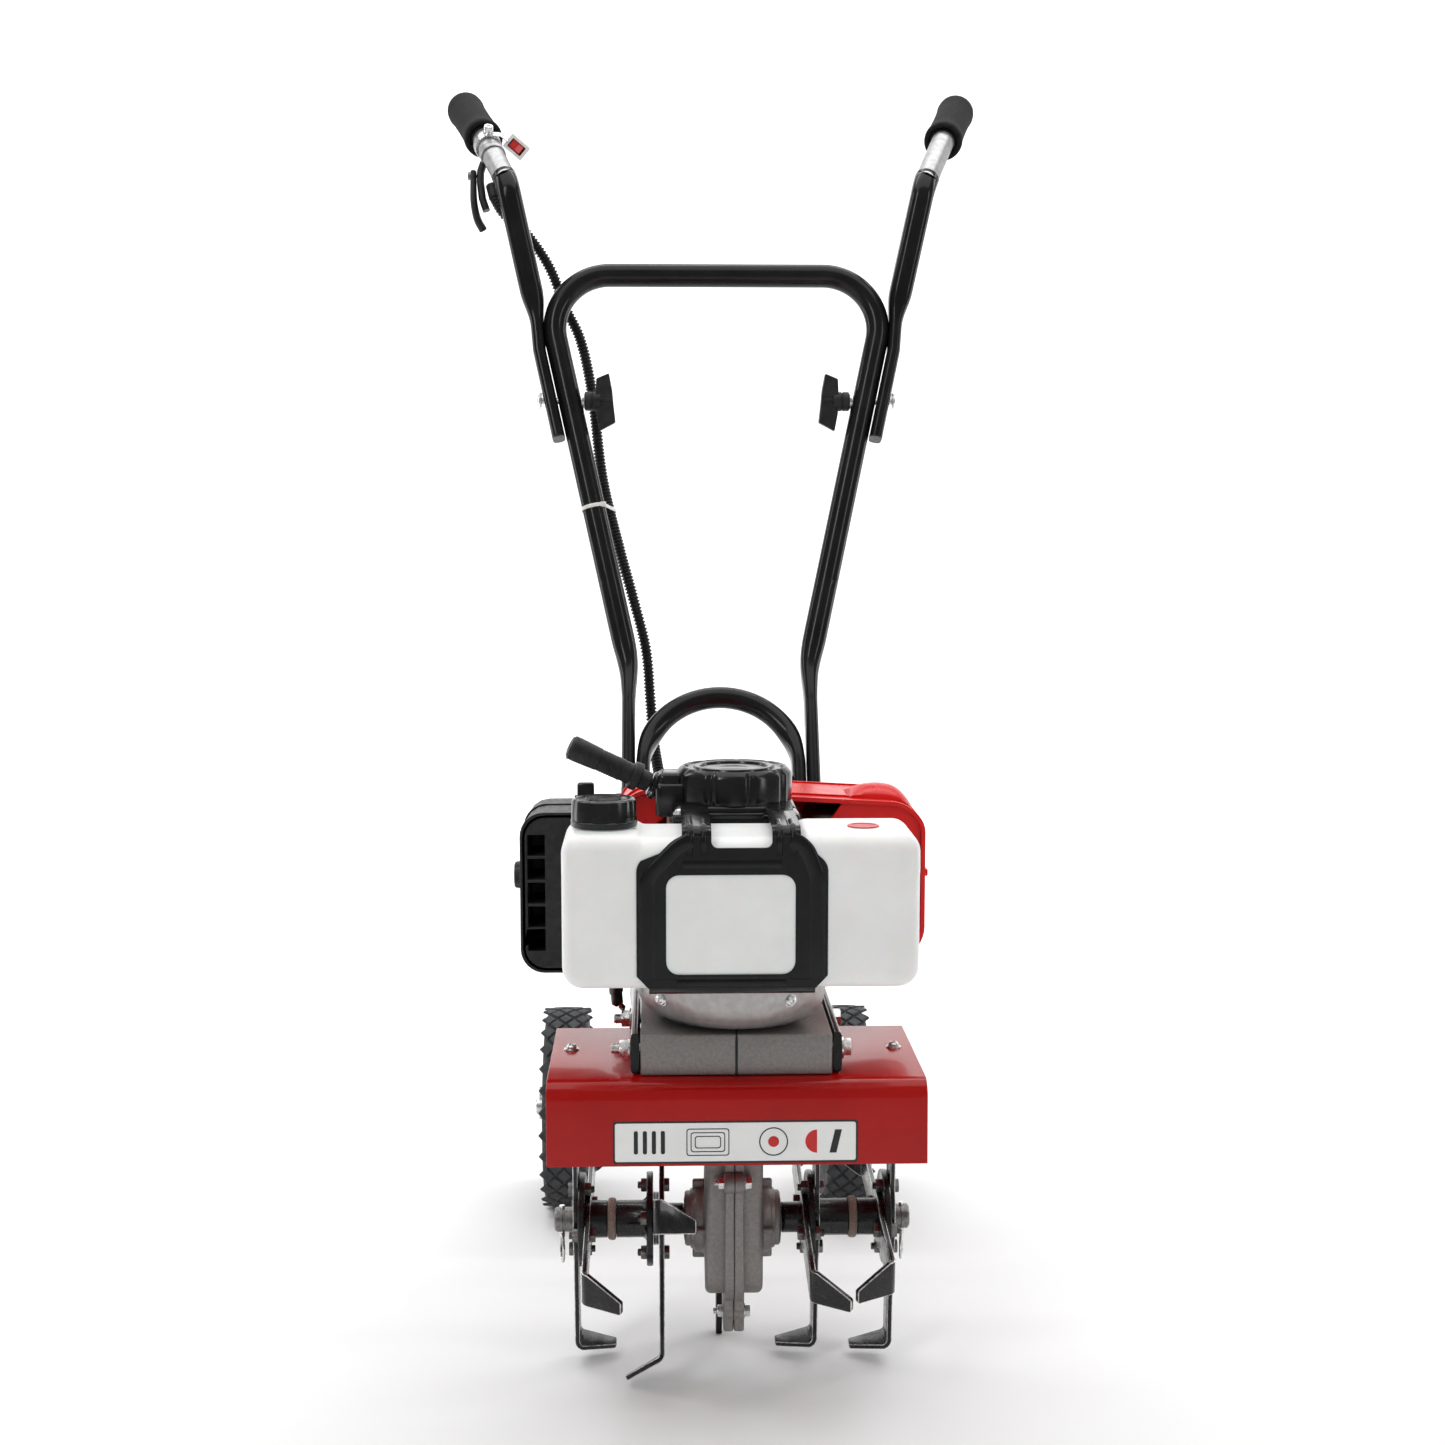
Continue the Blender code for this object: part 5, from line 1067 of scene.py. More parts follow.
def make_tank():
    """Blow-moulded tank with big soft corners and raised shoulders, its neck, cap and plug."""
    low, high = span("fuel_tank")
    top = high.z - 0.012
    (x0, y0, z0), (x1, y1) = low, high[:2]
    bm = bmesh.new()
    block(bm, (x0, y0, z0), (x1, y1, top - 0.0030), 0.0145, 8)
    for left, right in ((x0, -0.0635), (0.0365, x1)):
        block(bm, (left, y0 + 0.0002, top - 0.040), (right, y1 - 0.0002, top), 0.0125, 8)
    shell = put("tank_shell", bm, TANK, "root", "fuel_tank", sharp=60)
    union = shell.modifiers.new("one_skin", "REMESH")
    union.mode = "VOXEL"
    union.voxel_size = 0.0012
    soften = shell.modifiers.new("soften", "SMOOTH")
    soften.factor = 0.5
    soften.iterations = 8
    fresh = bpy.data.meshes.new_from_object(
        shell.evaluated_get(bpy.context.evaluated_depsgraph_get()))
    shell.modifiers.clear()
    shell.data = fresh
    shell.data.shade_smooth()

    cap_low, cap_high = span("fuel_cap")
    x, y = (cap_low.x + cap_high.x) / 2, (cap_low.y + cap_high.y) / 2
    radius = (cap_high.x - cap_low.x) / 2
    deep = cap_high.z - cap_low.z
    base = (x, y, cap_low.z)
    bm = bmesh.new()
    lathe(bm, [(top - 0.006, 0.0), (top - 0.006, 0.0225), (top + 0.0008, 0.0218),
               (top + 0.0016, 0.0206), (top + 0.0018, 0.0170), (high.z - 0.002, 0.0168),
               (high.z - 0.001, 0.0160), (high.z - 0.001, 0.0)], (x, y, 0), (0, 0, 1), 48)
    put("tank_neck", bm, TANK, "root", sharp=50)

    bm = bmesh.new()
    lathe(bm, [(0.0, radius * 0.80), (0.0, radius * 0.985), (0.0010, radius),
               (0.0040, radius), (0.0044, radius * 0.975), (0.0048, radius * 0.965)], base,
          (0, 0, 1), 144)
    lathe(bm, [(0.0040, radius * 0.9), (0.0046, radius * 0.985), (deep - 0.0030, radius * 0.965),
               (deep - 0.0012, radius * 0.945), (deep - 0.0004, radius * 0.90),
               (deep, radius * 0.84), (deep - 0.0008, radius * 0.62), (deep - 0.0010, radius * 0.58),
               (deep, radius * 0.54), (deep, 0.0)], base, (0, 0, 1), 144,
          lambda angle: 1.0 - 0.035 * max(0.0, math.cos(9 * angle)) ** 2)
    put("cap_shell", bm, GLOSS_PLASTIC, "fuel_cap", "fuel_cap", sharp=30)

    bm = bmesh.new()
    plug = (0.086, -0.140, 0)
    ring_lathe(bm, [(top + 0.0002, 0.0085), (top + 0.0009, 0.0088), (top + 0.0009, 0.0108),
                    (top + 0.0002, 0.0112)], plug, (0, 0, 1), 36)
    lathe(bm, [(top + 0.0001, 0.0), (top + 0.0001, 0.0090), (top + 0.0006, 0.0089),
               (top + 0.0006, 0.0)], plug, (0, 0, 1), 36)
    put("tank_plug", bm, LABEL_RED, "root", sharp=30)


def make_guard():
    """Pressed plate with raised ribs, a rolled fold on each strap and a channel along its foot."""
    low, high = span("tank_guard")
    left, right = low.x, high.x
    face = low.y + 0.0018
    thick = 0.0022
    middle = face + thick / 2
    straps = ((-0.0405, -0.0206), (0.0206, 0.0399))
    outline = ([(left + 0.008, 0.3435), (right - 0.008, 0.3435), (right, 0.352)]
               + arc((right - 0.012, 0.4235), 0.012, 0, 42, 5)
               + [(0.0470, 0.4395), (straps[1][1] + 0.0008, 0.4452), (straps[1][1], 0.4480),
                  (straps[1][0], 0.4480), (straps[1][0], 0.4445)]
               + arc((straps[1][0] - 0.0045, 0.4445), 0.0045, 0, -90, 5)
               + arc((straps[0][1] + 0.0045, 0.4445), 0.0045, 270, 180, 5)
               + [(straps[0][1], 0.4480), (straps[0][0], 0.4480),
                  (straps[0][0] - 0.0008, 0.4452), (-0.0480, 0.4395)]
               + arc((left + 0.012, 0.4235), 0.012, 138, 180, 5) + [(left, 0.352)])
    window = rounded_rectangle((-0.0513, 0.3530), (0.0364, 0.4215), 0.009)
    bm = bmesh.new()
    plate(bm, [outline, window], thick, FRONT_VIEW, -middle)
    put("guard_plate", bm, GLOSS_BLACK, "root", "tank_guard", sharp=30, bevel=0.0007, segments=3)

    def at(x, z):
        return Vector((x, face + 0.0009, z))

    bm = bmesh.new()
    left_rib = [at(left + 0.0075, 0.3500), at(left + 0.0072, 0.4200), at(-0.0440, 0.4405),
                at(-0.0345, 0.4455)]
    right_rib = [at(right - 0.0072 if i < 2 else -p.x - 0.0006, p.z)
                 for i, p in enumerate(left_rib)]
    for rib in (left_rib, right_rib):
        sweep(bm, even(rounded(rib, (0.016, 0.018), 6), 0.004), lambda point: (0.0056, 0.0021, 2.2),
              20)
    for x0, x1, z, shape in ((-0.0440, 0.0300, 0.3478, (0.0032, 0.0019, 2.2)),
                             (-0.0400, 0.0270, 0.4290, (0.0034, 0.0014, 2.2))):
        sweep(bm, even([at(x0, z), at(x1, z)], 0.006), lambda point, shape=shape: shape, 20,
              (0, 0, 1))
    put("guard_ribs", bm, GLOSS_BLACK, "root", sharp=60)

    roll = (middle + 0.0090, 0.4440)
    bm = bmesh.new()
    for x0, x1 in straps:
        ribbon(bm, [(middle, 0.4430)] + arc(roll, 0.0090, 180, 90, 10)
               + [(-0.1100, 0.4530), (-0.0765, 0.4530)], x0, x1)
    thicken(put("guard_straps", bm, GLOSS_BLACK, "root", sharp=60), thick)
    bm = bmesh.new()
    for x0, x1 in straps:
        for share in (0.26, 0.74):
            x = x0 + (x1 - x0) * share
            bend = [(x, y, z) for y, z in arc(roll, 0.0092, 200, 82, 12)]
            tube(bm, [(x, middle, 0.4350)] + bend + [(x, -0.1500, 0.4532)], 0.0024, 14)
    put("strap_folds", bm, GLOSS_BLACK, "root", sharp=60)

    bm = bmesh.new()
    for place, way in (((-0.0545, -0.0815, 0.3115), (-0.40, -0.9, -0.15)),
                       ((0.0385, -0.0970, 0.3140), (0.35, -0.9, -0.15))):
        screw(bm, place, way, 0.0040, 0.0034)
    put("guard_screws", bm, ZINC, "root", sharp=30)

    lip = span("fuel_tank")[0].z - 0.0003 - thick / 2
    bend = 0.006
    bm = bmesh.new()
    ribbon(bm, [(middle, 0.3500), (middle, lip + bend)]
           + arc((middle + bend, lip + bend), bend, 180, 270, 8)[1:] + [(-0.140, lip)],
           left + 0.0085, right - 0.0085)
    thicken(put("guard_foot", bm, GLOSS_BLACK, "root", sharp=60), thick)


def make_recoil():
    """Lobed starter cover with a raised ring on top, its foot and the rope guide."""
    base = Vector((0, WORM_Y, 0.4515))
    r = 0.0435
    top = span("recoil_cover")[1].z - 0.4515
    bm = bmesh.new()
    lathe(bm, [(0.0, r * 0.97), (0.0004, r), (top - 0.0060, r), (top - 0.0042, r * 0.985),
               (top - 0.0016, r * 0.935), (top - 0.0005, r * 0.90), (top - 0.0008, r * 0.86),
               (top - 0.0016, r * 0.84), (top - 0.0020, r * 0.80)], base, (0, 0, 1), 216,
          lambda angle: 1.0 - 0.050 * max(0.0, math.cos(9 * angle)) ** 6)
    lathe(bm, [(top - 0.0024, r * 0.82), (top - 0.0018, r * 0.70), (top - 0.0004, r * 0.685),
               (top, r * 0.66), (top, r * 0.60), (top - 0.0006, r * 0.575),
               (top - 0.0022, r * 0.56), (top - 0.0024, r * 0.30), (top - 0.0018, r * 0.26),
               (top - 0.0018, 0.0)], base, (0, 0, 1), 96)
    put("recoil_shell", bm, GLOSS_PLASTIC, "root", "recoil_cover", sharp=38)

    bm = bmesh.new()
    block(bm, (-0.047, -0.0750, 0.4384), (0.047, 0.0190, 0.4462), 0.0030, 4)
    block(bm, (-0.0445, -0.0720, 0.4440), (0.0445, 0.0165, 0.4520), 0.0036, 4)
    block(bm, (-0.0205, -0.0790, 0.4425), (0.0205, -0.0700, 0.4480), 0.0016, 3)
    put("recoil_foot", bm, GLOSS_PLASTIC, "root", sharp=40)
    bm = bmesh.new()
    for x in (-0.0408, 0.0408):
        for y in (-0.0690, 0.0130):
            block(bm, (x - 0.0050, y - 0.0050, 0.4460), (x + 0.0050, y + 0.0050, 0.4474), 0.0005, 2)
            screw(bm, (x, y, 0.4476), (0, 0, 1), 0.0036, 0.0030)
    put("recoil_screws", bm, ZINC, "root", sharp=30)

    bm = bmesh.new()
    block(bm, (-0.0585, -0.0470, 0.4400), (-0.0350, -0.0130, 0.4655), 0.0040, 4)
    block(bm, (-0.0570, -0.0440, 0.4560), (-0.0380, -0.0160, 0.4730), 0.0045, 4)
    lathe(bm, [(-0.0180, 0.0095), (-0.0070, 0.0098), (-0.0050, 0.0112), (-0.0030, 0.0112),
               (-0.0022, 0.0098), (-0.0012, 0.0096), (-0.0004, 0.0084), (-0.0006, 0.0040),
               (-0.0080, 0.0030), (-0.0080, 0.0)], STARTER_ROOT, STARTER_PULL, 40)
    put("rope_guide", bm, GLOSS_PLASTIC, "root", sharp=40)


def make_starter_pull():
    """The ribbed handle with its gritty end, and the rope that stretches to it."""
    grip = STARTER_ROOT + STARTER_PULL * 0.0006
    profile = [(0.0, 0.0030), (0.0, 0.0068), (0.0007, 0.0074), (0.0080, 0.0076), (0.0084, 0.0098),
               (0.0092, 0.0107), (0.0142, 0.0107), (0.0150, 0.0100), (0.0156, 0.0080),
               (0.0220, 0.0079)]
    for i in range(9):
        h = 0.0235 + i * 0.0020
        profile += [(h, 0.0084), (h + 0.0010, 0.0084), (h + 0.0012, 0.0080), (h + 0.0018, 0.0080)]
    profile += [(0.0420, 0.0086), (0.0500, 0.0089), (0.0605, 0.0093), (0.0640, 0.0088),
                (0.0656, 0.0074), (0.0660, 0.0050), (0.0656, 0.0030), (0.0640, 0.0)]
    bm = bmesh.new()
    lathe(bm, profile, grip, STARTER_PULL, 44)
    put("pull_handle", bm, MATT_PLASTIC, "starter_handle", "starter_handle", sharp=30)

    random.seed(11)
    bm = bmesh.new()
    first, second = frame_of(STARTER_PULL)
    for _ in range(70):
        h, angle = random.uniform(0.0520, 0.0640), random.uniform(0, math.tau)
        way = first * math.cos(angle) + second * math.sin(angle)
        place = grip + STARTER_PULL * h + way * (0.0086 + 0.0004 * (h - 0.052) / 0.012)
        speck = bmesh.new()
        bmesh.ops.create_icosphere(speck, subdivisions=1, radius=random.uniform(0.0004, 0.0008))
        bmesh.ops.translate(speck, vec=place, verts=speck.verts)
        merge(bm, speck)
    put("pull_handle_grit", bm, MATT_PLASTIC, "starter_handle", sharp=60)

    steps, around_rope, strands = 160, 12, 3
    rope_start = STARTER_ROOT - STARTER_PULL * 0.0075
    rope_end = grip + STARTER_PULL * 0.004
    rings = []
    for i in range(steps + 1):
        share = i / steps
        middle = rope_start.lerp(rope_end, share)
        twist = share * math.tau * 1.2
        ring = []
        for k in range(around_rope):
            turn = math.tau * k / around_rope
            way = first * math.cos(turn + twist) + second * math.sin(turn + twist)
            ring.append(middle + way * (0.0019 + 0.00025 * math.cos(strands * turn)))
        rings.append(ring)
    bm = bmesh.new()
    loft(bm, rings)
    rope = put("pull_rope", bm, ROPE, "root", sharp=70)
    rope.parent = None
    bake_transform(rope)


def lean_roof(mesh):
    """Let the covers' top fall away to the right, as a sloping roof."""
    for vertex in mesh.vertices:
        place = vertex.co - HOME
        fall = min(1.0, max(0.0, (place.x - 0.01) / 0.13))
        vertex.co.z -= 0.0115 * fall * min(1.0, max(0.0, (place.z - 0.375) / 0.065))


def hump_lift(share):
    """How far the hump has risen at a share of its length: a round rise, then a straight fall."""
    rise = math.sin(math.pi * min(1.0, min(share, 0.8) * 1.15 + 0.06)) ** 0.6
    return max(0.02, rise * min(1.0, (1 - share) / 0.2))


def make_shroud():
    """Red covers: the ducted box over cylinder and muffler, its layered lips, hump and screws."""
    refine("cylinder_shroud", RED_PLASTIC, bevel=0.0006, segments=2, sharp=40)
    low, high = span("cylinder_shroud")
    wall = 0.0022
    radius = 0.024
    front = -(low.y + 0.0035)
    bm = bmesh.new()
    for y, out, depth in ((low.y + 0.0014, 0.0014, 0.0036), (low.y + 0.0240, 0.0016, 0.0030),
                          (high.y - 0.0050, 0.0012, 0.0030)):
        outer = rounded_rectangle((low.x - out, low.z - out), (high.x + out, high.z + out),
                                  radius + out, 10)
        inner = rounded_rectangle((low.x + wall, low.z + wall), (high.x - wall, high.z - wall),
                                  radius - wall, 10)
        plate(bm, [outer, inner], depth, FRONT_VIEW, -y)
    put("shroud_lips", bm, RED_PLASTIC, "root", sharp=40, bevel=0.0007, segments=3)

    bm = bmesh.new()
    right = ([(0.0760, low.z + 0.0030), (high.x - radius, low.z)]
             + arc((high.x - radius, low.z + radius), radius, 270, 360, 8)[1:]
             + arc((high.x - radius, high.z - radius), radius, 0, 90, 8)
             + [(0.0870, high.z - 0.0020), (0.0760, high.z - 0.0200)])
    plate(bm, [right], wall, FRONT_VIEW, front)
    left = ([(-0.0520, high.z - wall), (low.x + radius, high.z - wall)]
            + arc((low.x + radius, high.z - radius), radius - wall, 90, 170, 8)[1:]
            + [(-0.0700, 0.4030), (-0.0600, 0.4230), (-0.0520, 0.4290)])
    plate(bm, [left], wall, FRONT_VIEW, front)
    put("shroud_front", bm, RED_PLASTIC, "root", sharp=40, bevel=0.0006, segments=2)

    rings = []
    for share in (i / 24 for i in range(25)):
        ring = []
        for across in (k / 32 for k in range(33)):
            x = 0.0930 + 0.0540 * across
            fall = radius - math.sqrt(max(0.0, radius ** 2 - max(0.0, x - high.x + radius) ** 2))
            rise = 0.0110 * hump_lift(share) * math.sin(math.pi * across) ** 0.55
            ring.append(Vector((x, low.y + 0.020 + 0.052 * share, high.z - 0.0008 - fall + rise)))
        ring += [Vector((p.x, p.y, high.z - 0.0100 - 0.3 * (high.z - p.z))) for p in reversed(ring)]
        rings.append(ring)
    bm = bmesh.new()
    loft(bm, rings)
    put("shroud_hump", bm, RED_PLASTIC, "root", sharp=60)

    bm = bmesh.new()
    for x, z in ((-0.074, 0.436), (0.136, 0.436), (0.136, 0.332), (-0.074, 0.332), (0.040, 0.442)):
        screw(bm, (x, high.y + 0.0002, z), (0, 1, 0), 0.0042, 0.0032)
    for y in (0.045, 0.100):
        screw(bm, (high.x + 0.0001, y, 0.384), (1, 0, 0), 0.0038, 0.0028)
    put("shroud_screws", bm, DARK_ZINC, "root", sharp=30)
    bm = bmesh.new()
    block(bm, (high.x + 0.0002, low.y + 0.002, 0.3835), (high.x + 0.0038, low.y + 0.012, 0.3900),
          0.0009, 2)
    block(bm, (-0.0300, high.y - 0.0004, 0.3560), (0.0300, high.y + 0.0050, 0.4200), 0.0040, 4)
    put("shroud_tabs", bm, RED_PLASTIC, "root", sharp=40)
    for name in ("cylinder_shroud_finished", "shroud_lips", "shroud_front", "shroud_hump",
                 "shroud_screws", "shroud_tabs"):
        lean_roof(bpy.data.objects[name].data)


def make_filter():
    """Air filter: ribbed back shell, smooth cover with a latch knob, and the choke lever."""
    refine("air_filter_housing", MATT_PLASTIC, bevel=0.0009, segments=2, sharp=40)
    low, high = span("air_filter_housing")
    inset = 0.0035
    outer = rounded_rectangle((low.x - 0.0010, low.z - 0.0010), (high.x + 0.0006, high.z + 0.0010),
                              0.0185, 8)
    inner = rounded_rectangle((low.x + inset, low.z + inset), (high.x - inset, high.z - inset),
                              0.0150, 8)
    bm = bmesh.new()
    for y in (low.y + 0.0012, low.y + 0.0480):
        plate(bm, [outer, inner], 0.0024, FRONT_VIEW, -y)
    put("filter_rims", bm, MATT_PLASTIC, "root", sharp=40, bevel=0.0006, segments=2)
    bm = bmesh.new()
    lathe(bm, [(0.0, 0.0125), (0.0020, 0.0125), (0.0028, 0.0115), (0.0090, 0.0105),
               (0.0100, 0.0095), (0.0100, 0.0)], (low.x + 0.0002, 0.062, 0.378), (-1, 0, 0), 72,
          lambda angle: 1.0 - 0.07 * max(0.0, math.cos(8 * angle)))
    put("filter_knob", bm, MATT_PLASTIC, "root", sharp=30)
    bm = bmesh.new()
    for i in range(6):
        z = low.z + 0.022 + 0.0156 * i
        block(bm, (low.x - 0.0011, low.y + 0.054, z), (low.x + 0.0008, high.y - 0.006, z + 0.0030),
              0.0008, 2)
    put("filter_ribs", bm, MATT_PLASTIC, "root", sharp=40)
    refine("choke_lever", GLOSS_PLASTIC, bevel=0.0003)


def make_engine_core():
    """Crankcase, cylinder, plug, muffler and carburettor, with what is screwed to them."""
    for node, finish, bevel in (("crankcase", CAST, 0.0010), ("cylinder", CAST, 0.0004),
                                ("carburettor", CAST, 0.0005), ("muffler", DARK_STEEL, 0.0005),
                                ("spark_plug_boot", MATT_PLASTIC, 0.0006)):
        refine(node, finish, bevel=bevel, sharp=40)
    for node, finish in (("worm_shaft", TURNED), ("worm_wheel", BRASS),
                         ("clutch_drum", DARK_STEEL), ("crankshaft", TURNED)):
        refine(node, finish, bevel=0.0002, sharp=35)
    bm = bmesh.new()
    for y in (-0.070, -0.045, -0.020, 0.004):
        for side in (-1, 1):
            low, high = ordered(side * 0.0495, side * 0.0530, y - 0.0015, y + 0.0015, 0.352, 0.425)
            block(bm, low, high, 0.0010, 2)
    put("crankcase_ribs", bm, CAST, "root", sharp=40)
    bm = bmesh.new()
    for x, y in ((-0.056, -0.060), (0.056, -0.060), (-0.056, 0.004), (0.056, 0.004)):
        hexagon(bm, (x * 0.98, y, 0.3470), (0, 0, 1), 0.0080, 0.0050)
    for x in (-0.034, 0.034):
        for z in (0.356, 0.420):
            hexagon(bm, (x, 0.0200, z), (0, 1, 0), 0.0070, 0.0030)
    put("crankcase_bolts", bm, ZINC, "root", sharp=25)


# ---------------------------------------------------------------- controls and cables
SWITCH_TILT = math.radians(-50)
CONDUIT = ((-0.2150, 0.4640, 0.9760), (-0.2110, 0.4570, 0.9620), (-0.2010, 0.4520, 0.9460),
           (-0.1820, 0.4510, 0.9300), (-0.1600, 0.4530, 0.8980), (-0.1450, 0.4560, 0.8600),
           (-0.1300, 0.4520, 0.8270), (-0.1190, 0.4400, 0.7750), (-0.1090, 0.4180, 0.6950),
           (-0.0930, 0.3910, 0.6300), (-0.0790, 0.3740, 0.5800), (-0.0680, 0.3690, 0.5350),
           (-0.0640, 0.3620, 0.4880), (-0.0610, 0.3500, 0.4500), (-0.0530, 0.3150, 0.4070),
           (-0.0480, 0.2650, 0.3840), (-0.0500, 0.2000, 0.3790), (-0.0560, 0.1400, 0.3820),
           (-0.0580, 0.1000, 0.3820), (-0.0580, 0.0786, 0.3820))
LEAD = ((-0.0540, -0.0450, 0.3700), (-0.0720, -0.0480, 0.3540), (-0.0870, -0.0500, 0.3280),
        (-0.0880, -0.0400, 0.3040), (-0.0840, -0.0200, 0.2900), (-0.0880, 0.0100, 0.2920),
        (-0.0920, 0.0500, 0.3020), (-0.0800, 0.0900, 0.3060), (-0.0500, 0.1100, 0.3140),
        (-0.0450, 0.1050, 0.3300), (-0.0420, 0.1000, 0.3500))


def tube_band(bm, centre, along, half, edge, crown):
    """A clamp's ring on the handle tube: half as long, its corners lower than its crown."""
    bore, corner = TUBE_R + 0.0003, 0.0004
    ring_lathe(bm, [(-half, bore), (-half, edge), (corner - half, crown), (half - corner, crown),
                    (half, edge), (half, bore)], centre, along, 48)


def make_throttle(clamp_at, along):
    """The lever's clamp and bracket, its blade and its screw."""
    bm = bmesh.new()
    tube_band(bm, clamp_at, along, 0.0040, 0.0122, 0.0125)
    put("lever_band", bm, BARE_TUBE, "root", "throttle_bracket", sharp=40)
    bm = bmesh.new()
    arm_end = LEVER_PIVOT + Vector((0.0068, 0, 0))
    path = [clamp_at + off_axis(LEVER_PIVOT - clamp_at, along) * 0.0120]
    path += [arm_end + Vector(p) for p in ((0, 0, 0.004), (0, -0.004, -0.006),
                                           (0.002, -0.008, -0.022), (0.006, -0.010, -0.034))]
    sweep(bm, even(path, 0.003), lambda point: (0.0036, 0.0046, 2.6), 20)
    put("lever_bracket", bm, MATT_PLASTIC, "root", sharp=40)

    spine = [LEVER_PIVOT + Vector(p) for p in ((0.0, 0.0, 0.0045), (0.0, -0.003, -0.012),
                                               (0.001, -0.008, -0.028), (0.004, -0.008, -0.042),
                                               (0.009, -0.004, -0.0515))]

    def lever_size(point):
        fall = (LEVER_PIVOT.z - point.z) / 0.052
        swell = 0.0052 + 0.0030 * math.sin(math.pi * min(1.0, max(0.0, fall + 0.1)))
        return (0.0028 + 0.0012 * max(0.0, fall), swell, 2.6)

    bm = bmesh.new()
    sweep(bm, smooth_line(spine, 40), lever_size, 28)
    put("lever_blade", bm, MATT_PLASTIC, "throttle_lever", "throttle_lever", sharp=45,
        bevel=0.0006)
    bm = bmesh.new()
    hexagon(bm, LEVER_PIVOT + Vector((-0.0026, 0, 0)), (-1, 0, 0), 0.0070, 0.0028)
    tube(bm, [LEVER_PIVOT + Vector((-0.0024, 0, 0)), LEVER_PIVOT, LEVER_PIVOT + Vector((0.0044, 0, 0))],
         0.0018, 14)
    put("lever_screw", bm, DARK_ZINC, "throttle_lever", sharp=25)


def make_switch(switch_at, along):
    """The stop switch: a band with a screw and a strap, a white frame, the body and the rocker."""
    inwards = off_axis(Vector((1, 0, 0)), along)
    up = off_axis(Vector((0, -0.35, 1)), along)
    bm = bmesh.new()
    tube_band(bm, switch_at, along, 0.0045, 0.0130, 0.0134)
    lathe(bm, [(0.0120, 0.0), (0.0120, 0.0052), (0.0135, 0.0054), (0.0142, 0.0046),
               (0.0150, 0.0040), (0.0155, 0.0046), (0.0200, 0.0046), (0.0212, 0.0040),
               (0.0212, 0.0022), (0.0190, 0.0018), (0.0190, 0.0)], switch_at, up, 24)
    centre = switch_at + inwards * 0.0290 + Vector((0, -0.0020, -0.0060))
    strap_end = centre + Vector((-0.0078, -0.0068, 0.0066))
    path = even([switch_at + up * 0.0126 + inwards * 0.002, switch_at + up * 0.0105
                 + inwards * 0.0120, strap_end], 0.002)
    sweep(bm, path, lambda point: (0.0007, 0.0042, 4.0), 16, tuple(up))
    put("switch_band", bm, ZINC, "root", "switch_clamp", sharp=35)

    bm = bmesh.new()
    plate(bm, [rounded_rectangle((-0.0078, -0.0112), (0.0078, 0.0112), 0.0014, 4),
               rounded_rectangle((-0.0047, -0.0078), (0.0047, 0.0078), 0.0008, 4)], 0.0012,
          FRONT_VIEW, 0.0068)
    tilt = Matrix.Rotation(SWITCH_TILT, 4, "Y")
    bmesh.ops.transform(bm, matrix=Matrix.Translation(centre) @ tilt, verts=bm.verts)
    put("switch_plate", bm, NYLON, "root", sharp=30, bevel=0.0003)
    refine("switch_body", MATT_PLASTIC, bevel=0.0003)
    refine("switch_rocker", LABEL_RED, bevel=0.0004)


def make_conduit():
    """The corrugated sleeve and its two end ferrules; gives back the sleeve's middle line."""
    bm = bmesh.new()
    points = spaced(smooth_line(CONDUIT, 1500), 0.00085)
    ridge = {tuple(point): 0.0054 if i % 4 in (0, 1) else 0.0040 for i, point in enumerate(points)}
    sweep(bm, points, lambda point: (ridge[tuple(point)],) * 2 + (2.0,), 16)
    put("conduit_sleeve", bm, MATT_PLASTIC, "root", "cable_conduit", sharp=30)
    bm = bmesh.new()
    for a, b in (CONDUIT[:2], CONDUIT[:-3:-1]):
        tube(bm, even([a, Vector(a).lerp(Vector(b), 0.9)], 0.004), 0.0060, 24)
    put("conduit_ends", bm, MATT_PLASTIC, "root", sharp=50)
    return points


def make_tie(points):
    """A white tie round the hoop's left leg and the conduit beside it."""
    bm = bmesh.new()
    tie_z = 0.668
    leg = mirrored(hoop_leg(tie_z), -1)
    near = min(points, key=lambda p: abs(p.z - tie_z))
    away = (near - leg).normalized()
    out = Vector((0, 0, 1)).cross(away).normalized()
    slope = (hoop_leg(0.70) - hoop_leg(0.60)).normalized()
    slope.x *= -1
    loop = []
    for middle, radius, first in ((leg, TUBE_R + 0.0008, 100), (near, 0.0062, -80)):
        for angle in (math.radians(first + 10 * i) for i in range(17)):
            loop.append(middle + (away * math.cos(angle) + out * math.sin(angle)) * radius)
    loop.append(loop[0])
    loop = [p - slope * ((p - leg).dot(slope)) for p in loop]
    sweep(bm, even(loop, 0.002), lambda point: (0.0018, 0.0006, 4.0), 12, tuple(slope))
    half = Vector((0.0028, 0.0028, 0.0024))
    block(bm, loop[16] - half, loop[16] + half, 0.0006, 2)
    put("cable_tie", bm, NYLON, "root", sharp=60)


